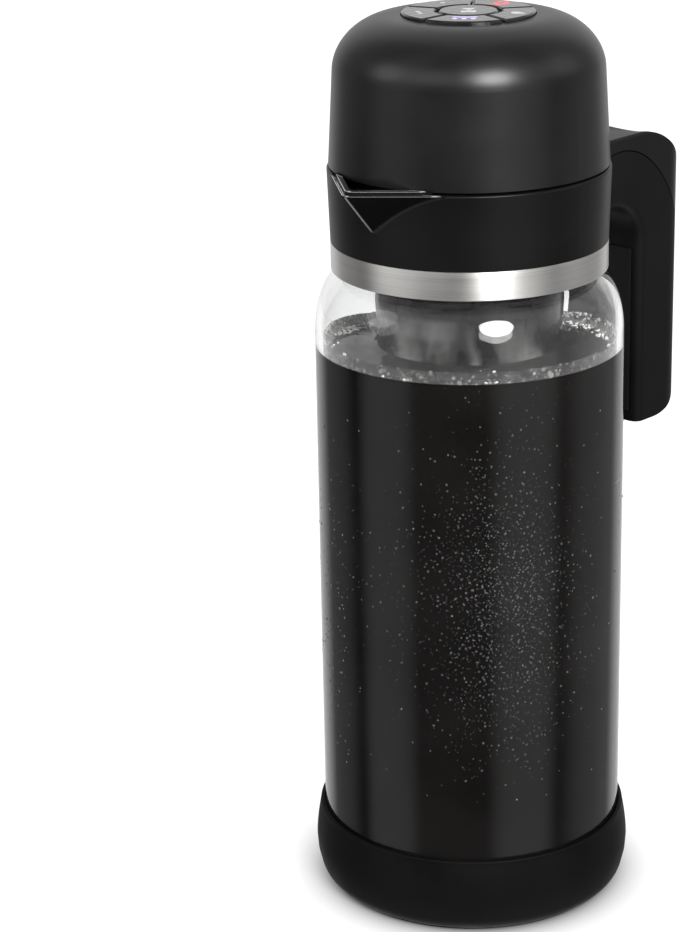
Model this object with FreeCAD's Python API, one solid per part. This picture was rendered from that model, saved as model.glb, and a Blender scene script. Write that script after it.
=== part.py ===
import FreeCAD, Part
import math
import os

# Cold brew coffee maker: a glass carafe with a collar, spout and side handle, a brew column that hangs
# in it and a battery head that drives the pump in the column's foot.
# Millimetres. The origin is on the body axis at the underside of the base boot. +Z is up, the spout
# points to -Y and the handle to +Y.

V = FreeCAD.Vector

# Fits and gaps
fit_gap = 0.1            # between parts of one body that are pushed or screwed together
free_gap = 0.3           # between parts that lift, slide or travel apart
shaft_fit = 0.05         # radial running clearance of a shaft
spin_gap = 1.0           # round the impeller
parting_gap = 0.4        # the visible parting line of the handle

# Glass carafe
body_radius = 55.5
glass_wall = 2.8
glass_floor = 6.0
base_corner = 9.0
shoulder_z = 214.0       # where the straight side ends
shoulder_rise = 23.0
neck_radius = 44.0
neck_rise = 9.0          # from the shoulder up to the bead
bead_width = 1.4
bead_height = 2.6

# Base boot
boot_floor = 3.0
boot_height = 29.3
boot_wall = 1.6
boot_bulge = 3.4         # how far the bulge stands out from the glass
boot_bulge_z = 15.0
boot_foot_inset = 5.0
boot_foot_z = 2.6

# Neck band, clamp and gasket
band_reach = 5.35        # from the neck to the outside of the band
band_height = 10.2
band_wall = 0.6
band_lip = 1.4
clamp_height = 7.6
clamp_split = 0.6
gasket_thickness = 1.2

# Collar and pouring liner
collar_height = 26.6
collar_wall = 2.0
collar_floor = 3.0
collar_flare = 0.85
collar_edge = 0.8
liner_wall = 1.6
ledge_thickness = 2.2

# Spout
spout_reach = 14.3       # from the collar to the tip
spout_half_angle = 32.0  # where the rim meets the collar, seen from the axis
spout_depth = 15.5       # from the collar's top down to the foot of the keel
spout_rim = 0.9          # height of the upright rim
spout_tip_radius = 4.0
spout_foot_radius = 2.0
spout_foot_proud = 0.5   # how far the foot of the keel stands out of the collar
nose_wall = 1.0
lip_rise = 1.4           # the liner's lip above the collar

# Handle
handle_reach = 56.4      # from the collar to the outside of the grip
handle_width = 34.0
handle_depth = 29.6
handle_drop = 112.1      # from the collar's top to the lower end
top_corner = 30.0
inner_corner = 14.0
foot_corner = 19.0
back_corner = 12.0       # of the grip's back, seen from above
top_edge = 1.2           # rounding of the arm's long edges
opening_edge = 3.5       # rounding of the finger opening's edges
thumb_radius = 45.0      # dish for the thumb
thumb_depth = 3.6
thumb_inset = 18.6       # from the outside of the grip in to the dish
arch_height = 60.0       # of the parting line, half an ellipse
arch_drop = 4.9          # from the collar's top down to the arch
arch_inset = 41.6        # from the outside of the grip in to the arch's middle
arch_skin = 1.2          # of the frame at the arch's end
core_width = 16.0
core_depth = 14.0
core_inset = 8.5
core_end = 20.0          # from the lower end up to the core's end
grip_skin = 3.0          # of the grip round the arm's root
pad_width = 26.0
pad_thickness = 1.8
pad_proud = 0.4
pad_margin = 4.0

# Brew column
pour_gap = 8.2           # between the column and the neck's bore
column_wall = 1.8
column_foot_z = 16.0
flange_thickness = 2.4
flange_rim = 3.0
slot_count = 8
slot_web = 5.0
tube_rise = 4.8          # the tube's top above the flange
tube_below_band = 32.0   # the smooth tube's length below the shoulder's top
spider_width = 3.0
spider_height = 3.0
rib_count = 8
rib_width = 3.5
hoop_height = 2.6
hoop_count = 2
frame_ring = 6.0
frame_lap = 4.0
mesh_wall = 0.4

# Pump
shaft_radius = 2.5
uptake_flow_gap = 3.5
uptake_wall = 1.5
outlet_width = 4.0
outlet_height = 9.0
outlet_count = 4
bush_wall = 1.6
bush_length = 4.0
bush_floor = 1.0         # under the lower bush, and under the shaft in it
housing_height = 18.0
housing_wall = 2.0
chamber_radius = 14.0
chamber_wall = 2.0
chamber_gap = 3.0
top_plate = 3.0
socket_height = 8.0
impeller_disc = 1.2
impeller_height = 6.0
impeller_hub = 4.2
blade_count = 6
blade_thickness = 1.2
grille_thickness = 3.0
grille_slot = 3.0
grille_count = 16

# Column lid and drive coupling
lid_thickness = 2.0
lid_skirt = 4.6
lid_skirt_wall = 1.6
well_wall = 1.2
well_depth = 8.0
well_floor = 1.5
spray_hole = 1.0
spray_count = 12
coupler_radius = 6.0
coupler_height = 14.0
coupler_lift = 2.0       # above the floor of the lid's well
hex_flats = 4.0
hex_fit = 0.08
hex_length = 9.0

# Power head shell
head_seam = 0.8          # the open seam above the collar
head_step = 0.6          # the shell's edge stands this far inside the collar's edge
head_draft = 0.057
head_side = 33.5
dome_width = 21.2
dome_rise = 18.3
head_wall = 2.5

# Head base
plate_thickness = 2.6
spigot_height = 4.4
spigot_wall = 2.4
spigot_gap = 0.6
spigot_lip = 1.0         # below the seal's groove
seal_height = 2.4
seal_depth = 1.3
hub_wall = 1.2
hub_height = 2.4
shaft_seal_wall = 3.0
shaft_seal_floor = 1.0

# Keys
centre_key_radius = 10.3
key_gap = 1.5
arc_key_width = 11.5
arc_key_count = 5
first_key_angle = 90.0
key_proud = 1.2
key_travel = 0.7
key_flange = 1.2
key_flange_reach = 1.1
key_edge = 0.5
stem_radius = 1.5
guide_thickness = 1.4
guide_gap = 0.5          # left under the flange of a pressed key
switch_gap = 1.2         # between the guide plate and the switches
switch_size = 6.0
switch_height = 3.6
stem_entry = 0.4
led_length = 1.6
led_width = 0.8
led_height = 0.7
led_offset = 5.0

# Control board
board_radius = 35.0
board_thickness = 1.6
board_post_radius = 2.6
board_post_circle = 31.0
board_post_count = 3
board_post_angle = 30.0

# Motor
motor_radius = 12.2
motor_length = 24.0
motor_wall = 1.0
motor_end = 1.8
motor_shaft_radius = 1.6
rotor_radius = 9.0
rotor_length = 15.0
bracket_thickness = 1.6
bracket_width = 13.0
bracket_rise = 4.0
bracket_post_radius = 3.0
bracket_post_gap = 4.5
nose_radius = 3.2        # of the bracket's hole for the motor's nose
motor_screw_offset = 8.0

# Batteries
cell_radius = 7.1
cell_length = 50.0
cell_cap_radius = 2.6
cell_cap_height = 1.0
cell_gap = 1.0
cradle_length = 36.0
cradle_height = 5.0
cradle_width = 11.4

# Charging port
port_rise = 12.0         # from the base plate up to the port's centre
port_width = 8.9
port_height = 3.2
port_length = 7.0
port_metal = 0.35
port_board_size = 13.0
port_board_thickness = 1.2
port_post_radius = 2.6
cover_width = 14.0
cover_height = 8.0
cover_thickness = 1.3

# Screws
small_shank = 1.0
small_head = 1.9
small_head_height = 1.3
large_shank = 1.4
large_head = 2.6
large_head_height = 1.5
screw_bite = 6.0
screw_end_gap = 1.0      # left below a large screw in its boss
clamp_screw_count = 4
clamp_screw_angle = 45.0
clamp_screw_head = 1.5
head_screw_angle = 60.0
head_boss_radius = 3.0
head_boss_height = 14.0
head_boss_inset = 4.0
handle_screw_spread = 9.0
handle_screw_bite = 11.0

# Wires
wire_radius = 0.6
motor_wire_offset = 6.0

tiny = 1e-6

# Heights worked out from the sizes above
glass_base_z = boot_floor
glass_inside_z = glass_base_z + glass_floor
shoulder_top_z = shoulder_z + shoulder_rise
bead_z = shoulder_top_z + neck_rise
rim_z = bead_z + bead_height
band_z = shoulder_top_z + free_gap
band_top_z = band_z + band_height
clamp_top_z = bead_z - fit_gap
gasket_top_z = rim_z + gasket_thickness
collar_floor_z = gasket_top_z + collar_floor
collar_top_z = band_top_z + collar_height
liner_z = collar_floor_z
ledge_z = liner_z + ledge_thickness
flange_z = ledge_z + free_gap
flange_top_z = flange_z + flange_thickness
tube_top_z = flange_top_z + tube_rise
tube_z = shoulder_top_z - tube_below_band
lid_z = tube_top_z + free_gap
lid_top_z = lid_z + lid_thickness
well_z = lid_top_z - well_depth
coupler_z = well_z + coupler_lift
coupler_top_z = coupler_z + coupler_height
shaft_top_z = coupler_z + hex_length
bush_top_z = well_z - well_floor - free_gap
uptake_top_z = bush_top_z
housing_top_z = column_foot_z + housing_height
grille_top_z = column_foot_z + grille_thickness
chamber_z = grille_top_z + chamber_gap
chamber_top_z = housing_top_z - top_plate
plate_z = collar_top_z + free_gap
plate_top_z = plate_z + plate_thickness
hub_top_z = plate_top_z + hub_height
shell_z = collar_top_z + head_seam
shell_side_z = shell_z + head_side
dome_z = shell_side_z + dome_rise
dome_inside_z = dome_z - head_wall
key_top_z = dome_z + key_proud
key_flange_top_z = dome_inside_z - free_gap
key_flange_z = key_flange_top_z - key_flange
guide_top_z = key_flange_z - key_travel - guide_gap
guide_z = guide_top_z - guide_thickness
switch_top_z = guide_z - switch_gap
board_top_z = switch_top_z - switch_height
board_z = board_top_z - board_thickness
bracket_z = plate_top_z + bracket_rise
motor_z = bracket_z + bracket_thickness
motor_top_z = motor_z + motor_length
port_z = plate_top_z + port_rise
handle_foot_z = collar_top_z - handle_drop
arch_z = collar_top_z - arch_drop - arch_height

# Radii worked out from the sizes above
body_bore = body_radius - glass_wall
neck_bore = neck_radius - glass_wall
bead_radius = neck_radius + bead_width
band_radius = neck_radius + band_reach
band_bore = band_radius - band_wall
clamp_radius = band_bore - free_gap
collar_top_radius = band_radius + collar_flare
collar_bore = band_radius - collar_wall
liner_radius = collar_bore - fit_gap
liner_bore = liner_radius - liner_wall
ledge_bore = neck_bore + fit_gap
column_radius = neck_bore - pour_gap
column_bore = column_radius - column_wall
flange_radius = liner_bore - free_gap
uptake_bore = shaft_radius + uptake_flow_gap
uptake_radius = uptake_bore + uptake_wall
bush_radius = shaft_radius + shaft_fit + bush_wall
mesh_radius = column_bore - fit_gap
mesh_bore = mesh_radius - mesh_wall
well_bore = coupler_radius + 2 * spin_gap
spigot_radius = liner_bore - spigot_gap
spigot_bore = spigot_radius - spigot_wall
seal_radius = liner_bore - free_gap
shell_radius = collar_top_radius - head_step
plate_radius = shell_radius - head_wall - fit_gap - head_draft * plate_thickness
head_boss_circle = spigot_bore - head_boss_inset
arc_key_bore = centre_key_radius + key_gap
arc_key_radius = arc_key_bore + arc_key_width
arc_key_circle = (arc_key_bore + arc_key_radius) / 2
handle_outer_y = collar_top_radius + handle_reach
handle_inner_y = handle_outer_y - handle_depth
arch_y = handle_outer_y - arch_inset
core_outer_y = handle_outer_y - core_inset
core_inner_y = core_outer_y - core_depth
cell_x = motor_radius + cell_gap + cell_radius
cell_z = plate_top_z + cradle_height + cell_radius / 2


# ---------------------------------------------------------------- shared shapes

def disc(radius, low, high, x=0.0, y=0.0):
    return Part.makeCylinder(radius, high - low, V(x, y, low))


def ring(bore, radius, low, high):
    return disc(radius, low, high).cut(disc(bore, low, high))


def block(x, y, z):
    """Box between three pairs of low and high values."""
    return Part.makeBox(x[1] - x[0], y[1] - y[0], z[1] - z[0], V(x[0], y[0], z[0]))


def rod(radius, start, end):
    return Part.makeCylinder(radius, (end - start).Length, start, end - start)


def join(shapes):
    """One solid from shapes that touch or overlap."""
    return shapes[0].fuse(shapes[1:]).removeSplitter()


def cut_all(shape, tools):
    return shape.cut(Part.makeCompound(tools))


def turned(shape, degrees):
    copy = shape.copy()
    copy.rotate(V(0, 0, 0), V(0, 0, 1), degrees)
    return copy


def spread(shape, count, first=0.0):
    """Copies of a shape at equal angles about the body axis."""
    return [turned(shape, first + 360.0 * index / count) for index in range(count)]


def on_circle(radius, degrees, z=0.0):
    angle = math.radians(degrees)
    return V(radius * math.cos(angle), radius * math.sin(angle), z)


def lengthwise(u, v):
    """A profile point in the plane x = 0."""
    return V(0, u, v)


def radial(u, v):
    """A profile point in the plane y = 0."""
    return V(u, 0, v)


def flat(u, v):
    """A profile point in the plane z = 0."""
    return V(u, v, 0)


def outline(place, start, *steps):
    """Closed face. A step of 2 numbers is a line, of 4 an arc through its first point, a list a spline."""
    edges = []
    here = place(*start)
    for step in steps + (start,):
        if isinstance(step, list):
            curve = Part.BSplineCurve()
            curve.interpolate([here] + [place(*point) for point in step])
            edges.append(curve.toShape())
            here = place(*step[-1])
            continue
        there = place(*step[-2:])
        if len(step) == 4:
            edges.append(Part.Arc(here, place(*step[:2]), there).toShape())
        elif (there - here).Length > tiny:
            edges.append(Part.makeLine(here, there))
        here = there
    return Part.Face(Part.Wire(edges))


def lathe(*profile):
    """Solid of revolution about the body axis."""
    return outline(radial, *profile).revolve(V(0, 0, 0), V(0, 0, 1), 360)


def arc_mid(centre, radius, degrees):
    angle = math.radians(degrees)
    return (centre[0] + radius * math.cos(angle), centre[1] + radius * math.sin(angle))


def hexagon(flats, low, high):
    corner = flats / math.sqrt(3)
    wire = Part.makePolygon([on_circle(corner, 60 * side, low) for side in range(7)])
    return Part.Face(wire).extrude(V(0, 0, high - low))


def screw(shank, head, head_height, length, seat, way):
    """Socket screw: the head's underside is at seat and the shank runs along way."""
    body = join([disc(shank, -tiny, length), disc(head, -head_height, 0)])
    body = body.cut(hexagon(head, -head_height, -head_height / 3))
    body.Placement = FreeCAD.Placement(seat, FreeCAD.Rotation(V(0, 0, 1), way))
    return body


def save(shapes, node):
    """One file per node. A list is a group of separate solids."""
    shape = Part.makeCompound(shapes) if isinstance(shapes, list) else shapes
    shape.exportStep("parts/" + node + ".step")


# ---------------------------------------------------------------- glass carafe

def shoulder_points(inset, count=8):
    """Elliptical shoulder from the straight side in to the neck."""
    width = body_radius - neck_radius
    rise = shoulder_rise - inset
    points = []
    for index in range(1, count + 1):
        angle = math.pi / 2 * index / count
        points.append((neck_radius - inset + width * math.cos(angle), shoulder_z + rise * math.sin(angle)))
    return points


def glass_carafe():
    corner = (body_radius - base_corner, glass_base_z + base_corner)
    inner_corner_radius = base_corner - glass_wall
    inner = (body_bore - inner_corner_radius, glass_inside_z + inner_corner_radius)
    rim_round = (neck_bore + bead_radius) / 2
    return lathe(
        (0, glass_base_z),
        (corner[0], glass_base_z),
        (*arc_mid(corner, base_corner, -45), body_radius, corner[1]),
        (body_radius, shoulder_z),
        shoulder_points(0.0),
        (neck_radius, bead_z),
        (bead_radius, bead_z),
        (bead_radius, rim_z - bead_width),
        (rim_round, rim_z, neck_bore, rim_z - bead_width),
        (neck_bore, shoulder_top_z - glass_wall),
        list(reversed(shoulder_points(glass_wall)[:-1])) + [(body_bore, shoulder_z)],
        (body_bore, inner[1]),
        (*arc_mid(inner, inner_corner_radius, -45), inner[0], glass_inside_z),
        (0, glass_inside_z),
    )


def base_boot():
    """Soft cup that bulges below a thin rim."""
    bore = body_radius + fit_gap
    bulge = body_radius + boot_bulge
    rim = bore + boot_wall
    foot = body_radius - boot_foot_inset
    low_side = (bulge - boot_foot_z / 2, boot_bulge_z / 2)
    corner = (body_radius - base_corner, glass_base_z + base_corner)
    seat_radius = base_corner + fit_gap
    lip = (rim - boot_wall / 2, boot_height - boot_wall / 2)
    return lathe(
        (0, 0),
        (foot, 0),
        ((foot + low_side[0]) / 2 + boot_foot_z / 2, boot_foot_z, *low_side),
        (bulge, boot_bulge_z, rim, lip[1]),
        (*arc_mid(lip, boot_wall / 2, 45), lip[0], boot_height),
        (bore, boot_height),
        (bore, corner[1]),
        (*arc_mid(corner, seat_radius, -45), corner[0], glass_base_z),
        (0, glass_base_z),
    )


# ---------------------------------------------------------------- neck

def steel_band():
    """Rolled strip with a lip turned in at its lower edge."""
    lip = clamp_radius - band_lip
    return join([
        ring(band_bore, band_radius, band_z, band_top_z - fit_gap),
        ring(lip, band_radius, band_z, band_z + band_wall),
    ])


def clamp_screw_places():
    """Screws in the middle of the collar's skirt. Their heads sit in notches, open at the clamp's outside."""
    circle = (bead_radius + fit_gap + clamp_radius) / 2
    step = 360.0 / clamp_screw_count
    return [on_circle(circle, clamp_screw_angle + step * index) for index in range(clamp_screw_count)]


def clamp_z():
    return clamp_top_z - clamp_height


def neck_clamp():
    """Two half rings under the glass bead."""
    whole = ring(neck_radius + fit_gap, clamp_radius, clamp_z(), clamp_top_z)
    for place in clamp_screw_places():
        sink_top = clamp_z() + small_head_height + fit_gap
        sink = disc(clamp_screw_head + fit_gap, clamp_z(), sink_top, place.x, place.y)
        hole = disc(small_shank + fit_gap, clamp_z(), clamp_top_z, place.x, place.y)
        whole = whole.cut(sink.fuse(hole))
    saw = block((-body_radius, body_radius), (-clamp_split / 2, clamp_split / 2), (clamp_z(), clamp_top_z))
    return whole.cut(saw).Solids


def clamp_screws():
    seat_z = clamp_z() + small_head_height
    length = clamp_top_z - seat_z + screw_bite / 2
    screws = []
    for place in clamp_screw_places():
        seat = place + V(0, 0, seat_z)
        screws.append(screw(small_shank, clamp_screw_head, small_head_height, length, seat, V(0, 0, 1)))
    return screws


def neck_gasket():
    return ring(ledge_bore, bead_radius, rim_z - tiny, gasket_top_z)


# ---------------------------------------------------------------- spout and collar

def collar_cone(gap, low, high):
    """Outer form of the collar, grown by a gap."""
    slope = collar_flare / collar_height
    low_radius = band_radius + gap + slope * (low - band_top_z)
    high_radius = band_radius + gap + slope * (high - band_top_z)
    return Part.makeCone(low_radius, high_radius, high - low, V(0, 0, low))


def spout_nose(inset, rise, throat):
    """V of the spout: an upright rim over a keel. Inset moves its walls in and throat runs it inwards."""
    root = on_circle(collar_top_radius, 270 + spout_half_angle)
    tip_y = -(collar_top_radius + spout_reach)
    rim_low = collar_top_z - spout_rim
    keel = V(0, -(band_radius + collar_flare / 2), collar_top_z - spout_depth)
    normal = (V(0, tip_y, rim_low) - keel).cross(V(root.x, root.y, rim_low) - keel)
    normal.normalize()
    lift = inset * math.hypot(normal.x, normal.y) / abs(normal.z)
    half_tip = math.atan2(root.x, root.y - tip_y)
    tip = V(0, tip_y + inset / math.sin(half_tip), rim_low)
    half_root = (root.y - tip.y) * math.tan(half_tip)
    left = V(-half_root, root.y, rim_low)
    right = V(half_root, root.y, rim_low)
    foot = V(0, keel.y, keel.z + lift)
    side_round = max(spout_tip_radius - inset / 2, spout_tip_radius / 4)
    plan = rounded_corner(left, tip, right, side_round)
    upright = Part.Face(plan).extrude(V(0, 0, spout_rim + rise))
    toe = foot - V(0, spout_foot_proud + spout_foot_radius * (1 / math.sin(half_tip) - 1), 0)
    heel = foot + V(0, spout_foot_radius, 0)
    half_heel = V((heel.y - toe.y) * math.tan(half_tip), 0, 0)
    base = rounded_corner(heel - half_heel, toe, heel + half_heel, spout_foot_radius)
    cone = Part.makeLoft([plan, base], True, True)
    shape = upright.fuse(cone)
    if throat > 0:
        half_mouth = (foot.y - tip.y) * math.tan(half_tip)
        half_foot = (foot.y - toe.y) * math.tan(half_tip)
        mouth = V(half_mouth, 0, rim_low - foot.z)
        side = V(half_foot, 0, 0)
        opposite = V(-half_mouth, 0, rim_low - foot.z)
        gate = Part.makePolygon([foot - side, foot + side, foot + mouth, foot + opposite, foot - side])
        shape = shape.fuse(Part.Face(gate).extrude(V(0, throat, 0)))
    return shape


def rounded_corner(left, tip, right, radius):
    """Triangle whose tip is rounded."""
    to_left = (left - tip).normalize()
    to_right = (right - tip).normalize()
    half = to_left.getAngle(to_right) / 2
    start = tip + to_left * (radius / math.tan(half))
    end = tip + to_right * (radius / math.tan(half))
    centre = tip + (to_left + to_right).normalize() * (radius / math.sin(half))
    middle = centre + (tip - centre).normalize() * radius
    return Part.Wire([
        Part.makeLine(left, start),
        Part.Arc(start, middle, end).toShape(),
        Part.makeLine(end, right),
        Part.makeLine(right, left),
    ])


def spout_collar():
    """Outer collar: skirt over the clamp, floor on the gasket, flared wall and the nose of the spout."""
    skirt_bore = bead_radius + fit_gap
    edge = (collar_top_radius - collar_edge, collar_top_z - collar_edge)
    wall = lathe(
        (skirt_bore, clamp_top_z + fit_gap),
        (clamp_radius, clamp_top_z + fit_gap),
        (clamp_radius, band_top_z),
        (band_radius, band_top_z),
        (collar_top_radius, edge[1]),
        (*arc_mid(edge, collar_edge, 45), edge[0], collar_top_z),
        (0, collar_top_z),
        (0, gasket_top_z),
        (skirt_bore, gasket_top_z),
    )
    nose = spout_nose(0.0, 0.0, 0.0)
    body = wall.fuse(nose).removeSplitter()
    throat = keel_to_axis() - liner_bore + spigot_wall
    hollow = [
        disc(collar_bore, collar_floor_z, collar_top_z),
        disc(ledge_bore, gasket_top_z, collar_floor_z),
        spout_nose(nose_wall, collar_edge, throat),
    ]
    body = cut_all(body, hollow)
    holes = []
    for place in clamp_screw_places():
        top = clamp_top_z + screw_bite / 2 + fit_gap
        holes.append(disc(small_shank + fit_gap / 2, clamp_top_z, top, place.x, place.y))
    for x in (-handle_screw_spread, handle_screw_spread):
        holes.append(handle_screw_hole(x))
    return cut_all(body, holes)


def keel_to_axis():
    return band_radius + collar_flare / 2


def pour_liner():
    """Inner collar: ledge for the brew column, wall and the pouring channel with its raised lip."""
    throat = keel_to_axis() - liner_bore
    tube = ring(liner_bore, liner_radius, liner_z, collar_top_z)
    ledge = ring(ledge_bore, liner_radius, liner_z, ledge_z)
    outer = spout_nose(nose_wall + fit_gap, lip_rise, throat)
    body = join([tube, ledge, outer])
    channel = spout_nose(nose_wall + fit_gap + liner_wall, lip_rise + collar_edge, throat + 2 * liner_wall)
    above = disc(shell_radius + head_step / 2, collar_top_z, collar_top_z + lip_rise + collar_edge)
    inside = disc(liner_bore, ledge_z, collar_top_z + lip_rise)
    return cut_all(body, [channel, above, inside])


# ---------------------------------------------------------------- handle

def handle_side():
    """Side view of the whole handle."""
    root_y = band_radius - collar_wall
    arm_low_z = band_top_z + fit_gap
    top_z = collar_top_z
    outer = handle_outer_y
    corner = (outer - top_corner, top_z - top_corner)
    inner = (handle_inner_y - inner_corner, arm_low_z - inner_corner)
    foot = (outer - foot_corner, handle_foot_z + foot_corner)
    return (
        (root_y, top_z),
        (corner[0], top_z),
        (*arc_mid(corner, top_corner, 45), outer, corner[1]),
        (outer, foot[1]),
        (*arc_mid(foot, foot_corner, -45), foot[0], handle_foot_z),
        (handle_inner_y, handle_foot_z),
        (handle_inner_y, inner[1]),
        (*arc_mid(inner, inner_corner, 45), inner[0], arm_low_z),
        (root_y, arm_low_z),
    )


def opening_edges(body):
    """Side edges of the finger opening: under the arm and down the grip's inner face."""
    found = []
    for edge in body.Edges:
        box = edge.BoundBox
        upright = box.XLength < tiny
        if upright and box.YMax < handle_inner_y + tiny and box.ZMax < band_top_z + fit_gap + tiny:
            found.append(edge)
    return found


def handle_block():
    """Solid handle: flat sides, rounded back, a thumb dish on top, cut to the collar."""
    half = handle_width / 2
    side = outline(lengthwise, *handle_side()).extrude(V(handle_width, 0, 0))
    side.translate(V(-half, 0, 0))
    side = side.makeFillet(opening_edge, opening_edges(side))
    outer = handle_outer_y
    corner = back_corner
    shift = corner * (1 - math.sqrt(0.5))
    plan = outline(
        flat,
        (-half, 0),
        (half, 0),
        (half, outer - corner),
        (half - shift, outer - shift, half - corner, outer),
        (corner - half, outer),
        (shift - half, outer - shift, -half, outer - corner),
    ).extrude(V(0, 0, collar_top_z))
    edge = top_edge
    nick = edge * (1 - math.sqrt(0.5))
    top = collar_top_z
    front = outline(
        radial,
        (-half, 0),
        (half, 0),
        (half, top - edge),
        (half - nick, top - nick, half - edge, top),
        (edge - half, top),
        (nick - half, top - nick, -half, top - edge),
    ).extrude(V(0, outer, 0))
    dish = Part.makeSphere(thumb_radius, V(0, outer - thumb_inset, top + thumb_radius - thumb_depth))
    body = side.common(plan).common(front)
    return cut_all(body, [collar_cone(fit_gap, band_z, collar_top_z + collar_edge), dish])


def arch_zone(gap):
    """Everything inside the arch line, shrunk by a gap."""
    half = handle_width
    high = arch_height - gap
    reach = arch_inset - arch_skin - gap
    middle = V(-half, arch_y, arch_z)
    line = Part.Ellipse(middle + V(0, 0, high), middle + V(0, reach, 0), middle)
    arch = Part.Face(Part.Wire(line.toShape())).extrude(V(2 * half, 0, 0))
    below = block((-half, half), (arch_y - reach, handle_outer_y + half), (0, arch_z))
    return arch.fuse(below)


def core_block(gap):
    """Core of the handle inside the grip, grown by a gap."""
    half = core_width / 2 + gap
    low = handle_foot_z + core_end - gap
    return block((-half, half), (core_inner_y - gap, core_outer_y + gap), (low, collar_top_z))


def pad_block(gap, seat_gap):
    """Pad on the grip's inner face, grown by a gap at its rim and one behind it."""
    half = pad_width / 2 + gap
    low = handle_foot_z + pad_margin - gap
    high = band_top_z - inner_corner - pad_margin + gap
    front = handle_inner_y - pad_proud
    back = handle_inner_y + pad_thickness + seat_gap
    return block((-half, half), (front, back), (low, high))


def handle_screw_hole(x):
    """Sunk hole through the collar wall into the handle's arm."""
    seat = handle_screw_seat(x)
    sink = rod(large_head + fit_gap, V(x, 0, seat.z), V(x, seat.y, seat.z))
    shank = rod(large_shank + fit_gap / 2, seat, seat + V(0, handle_screw_bite + fit_gap, 0))
    keep = disc(liner_bore, seat.z - 2 * large_head, seat.z + 2 * large_head)
    return sink.cut(keep).fuse(shank)


def handle_screw_seat(x):
    inside = math.sqrt(collar_bore ** 2 - (abs(x) - large_head) ** 2)
    middle = (collar_floor_z + collar_top_z) / 2
    return V(x, inside + fit_gap + 2 * small_head_height / 3, middle)


def handle_frame():
    """Arm and top corner outside the arch, with the core that runs down inside the grip."""
    body = handle_block()
    skin = body.cut(arch_zone(0.0))
    core = core_block(0.0).common(body)
    frame = join([skin, core, arm_root(0.0).common(body)])
    holes = [handle_screw_hole(-handle_screw_spread), handle_screw_hole(handle_screw_spread)]
    for z in grip_screw_heights():
        seat = V(0, core_inner_y - fit_gap, z)
        holes.append(rod(large_shank + fit_gap / 2, seat, seat + V(0, screw_bite + 2 * fit_gap, 0)))
    return cut_all(frame, holes)


def arm_root(gap):
    """Root of the arm under the arch line, which the screws pull against the collar, grown by a gap."""
    half = handle_width / 2 - grip_skin + gap
    reach = collar_top_radius + handle_screw_bite + gap
    low = band_top_z + grip_skin - gap
    return block((-half, half), (0, reach), (low, collar_top_z))


def grip_screw_heights():
    low = handle_foot_z + core_end
    high = band_top_z - inner_corner
    return [low + (high - low) * share for share in (1 / 4, 3 / 4)]


def handle_grip():
    """Grip inside the arch: slides over the core and carries the pad."""
    body = handle_block()
    grip = body.common(arch_zone(parting_gap))
    tools = [core_block(fit_gap), pad_block(parting_gap, fit_gap), arm_root(fit_gap)]
    for z in grip_screw_heights():
        seat = grip_screw_seat(z)
        tools.append(rod(large_head + fit_gap, V(0, handle_inner_y, z), seat))
        tools.append(rod(large_shank + fit_gap, seat, V(0, core_inner_y, z)))
    return cut_all(grip, tools)


def grip_screw_seat(z):
    return V(0, handle_inner_y + pad_thickness + large_head_height + 2 * fit_gap, z)


def handle_pad():
    return pad_block(0.0, 0.0)


def grip_screws():
    screws = []
    for z in grip_screw_heights():
        seat = grip_screw_seat(z)
        length = core_inner_y - seat.y + screw_bite
        screws.append(screw(large_shank, large_head, large_head_height, length, seat, V(0, 1, 0)))
    return screws


def handle_screws():
    screws = []
    for x in (-handle_screw_spread, handle_screw_spread):
        seat = handle_screw_seat(x)
        head_height = seat.y - math.sqrt(liner_radius ** 2 - (abs(x) - large_head) ** 2) - fit_gap
        screws.append(screw(large_shank, large_head, head_height, handle_screw_bite, seat, V(0, 1, 0)))
    return screws


# ---------------------------------------------------------------- brew column

def ring_sector(bore, radius, half_angle, low, high):
    """Slot-shaped sector about +X with ends at constant angle."""
    corners = [on_circle(bore, -half_angle), on_circle(bore, half_angle)]
    far = [on_circle(radius, half_angle), on_circle(radius, -half_angle)]
    edges = [
        Part.Arc(corners[0], on_circle(bore, 0), corners[1]).toShape(),
        Part.makeLine(corners[1], far[0]),
        Part.Arc(far[0], on_circle(radius, 0), far[1]).toShape(),
        Part.makeLine(far[1], corners[0]),
    ]
    sector = Part.Face(Part.Wire(edges)).extrude(V(0, 0, high - low))
    sector.translate(V(0, 0, low))
    return sector


def spider_z():
    return uptake_top_z - spider_height - bush_length / 2


def column_tube():
    """Smooth tube with the hanger flange, its pouring slots and a spider that steadies the uptake tube."""
    tube = ring(column_bore, column_radius, tube_z, tube_top_z)
    flange = ring(column_bore, flange_radius, flange_z, flange_top_z)
    web_angle = math.degrees(slot_web / 2 / column_radius)
    half_angle = 180.0 / slot_count - web_angle
    slot = ring_sector(column_radius, flange_radius - flange_rim, half_angle, flange_z, flange_top_z)
    flange = cut_all(flange, spread(slot, slot_count, -90.0))
    low = spider_z()
    high = low + spider_height
    hub = disc(uptake_radius + fit_gap + column_wall, low, high)
    arm = block((0, column_bore + column_wall / 2), (-spider_width / 2, spider_width / 2), (low, high))
    body = join([tube, flange, hub] + spread(arm, 3, 90.0))
    return body.cut(disc(uptake_radius + fit_gap, low, high))


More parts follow.
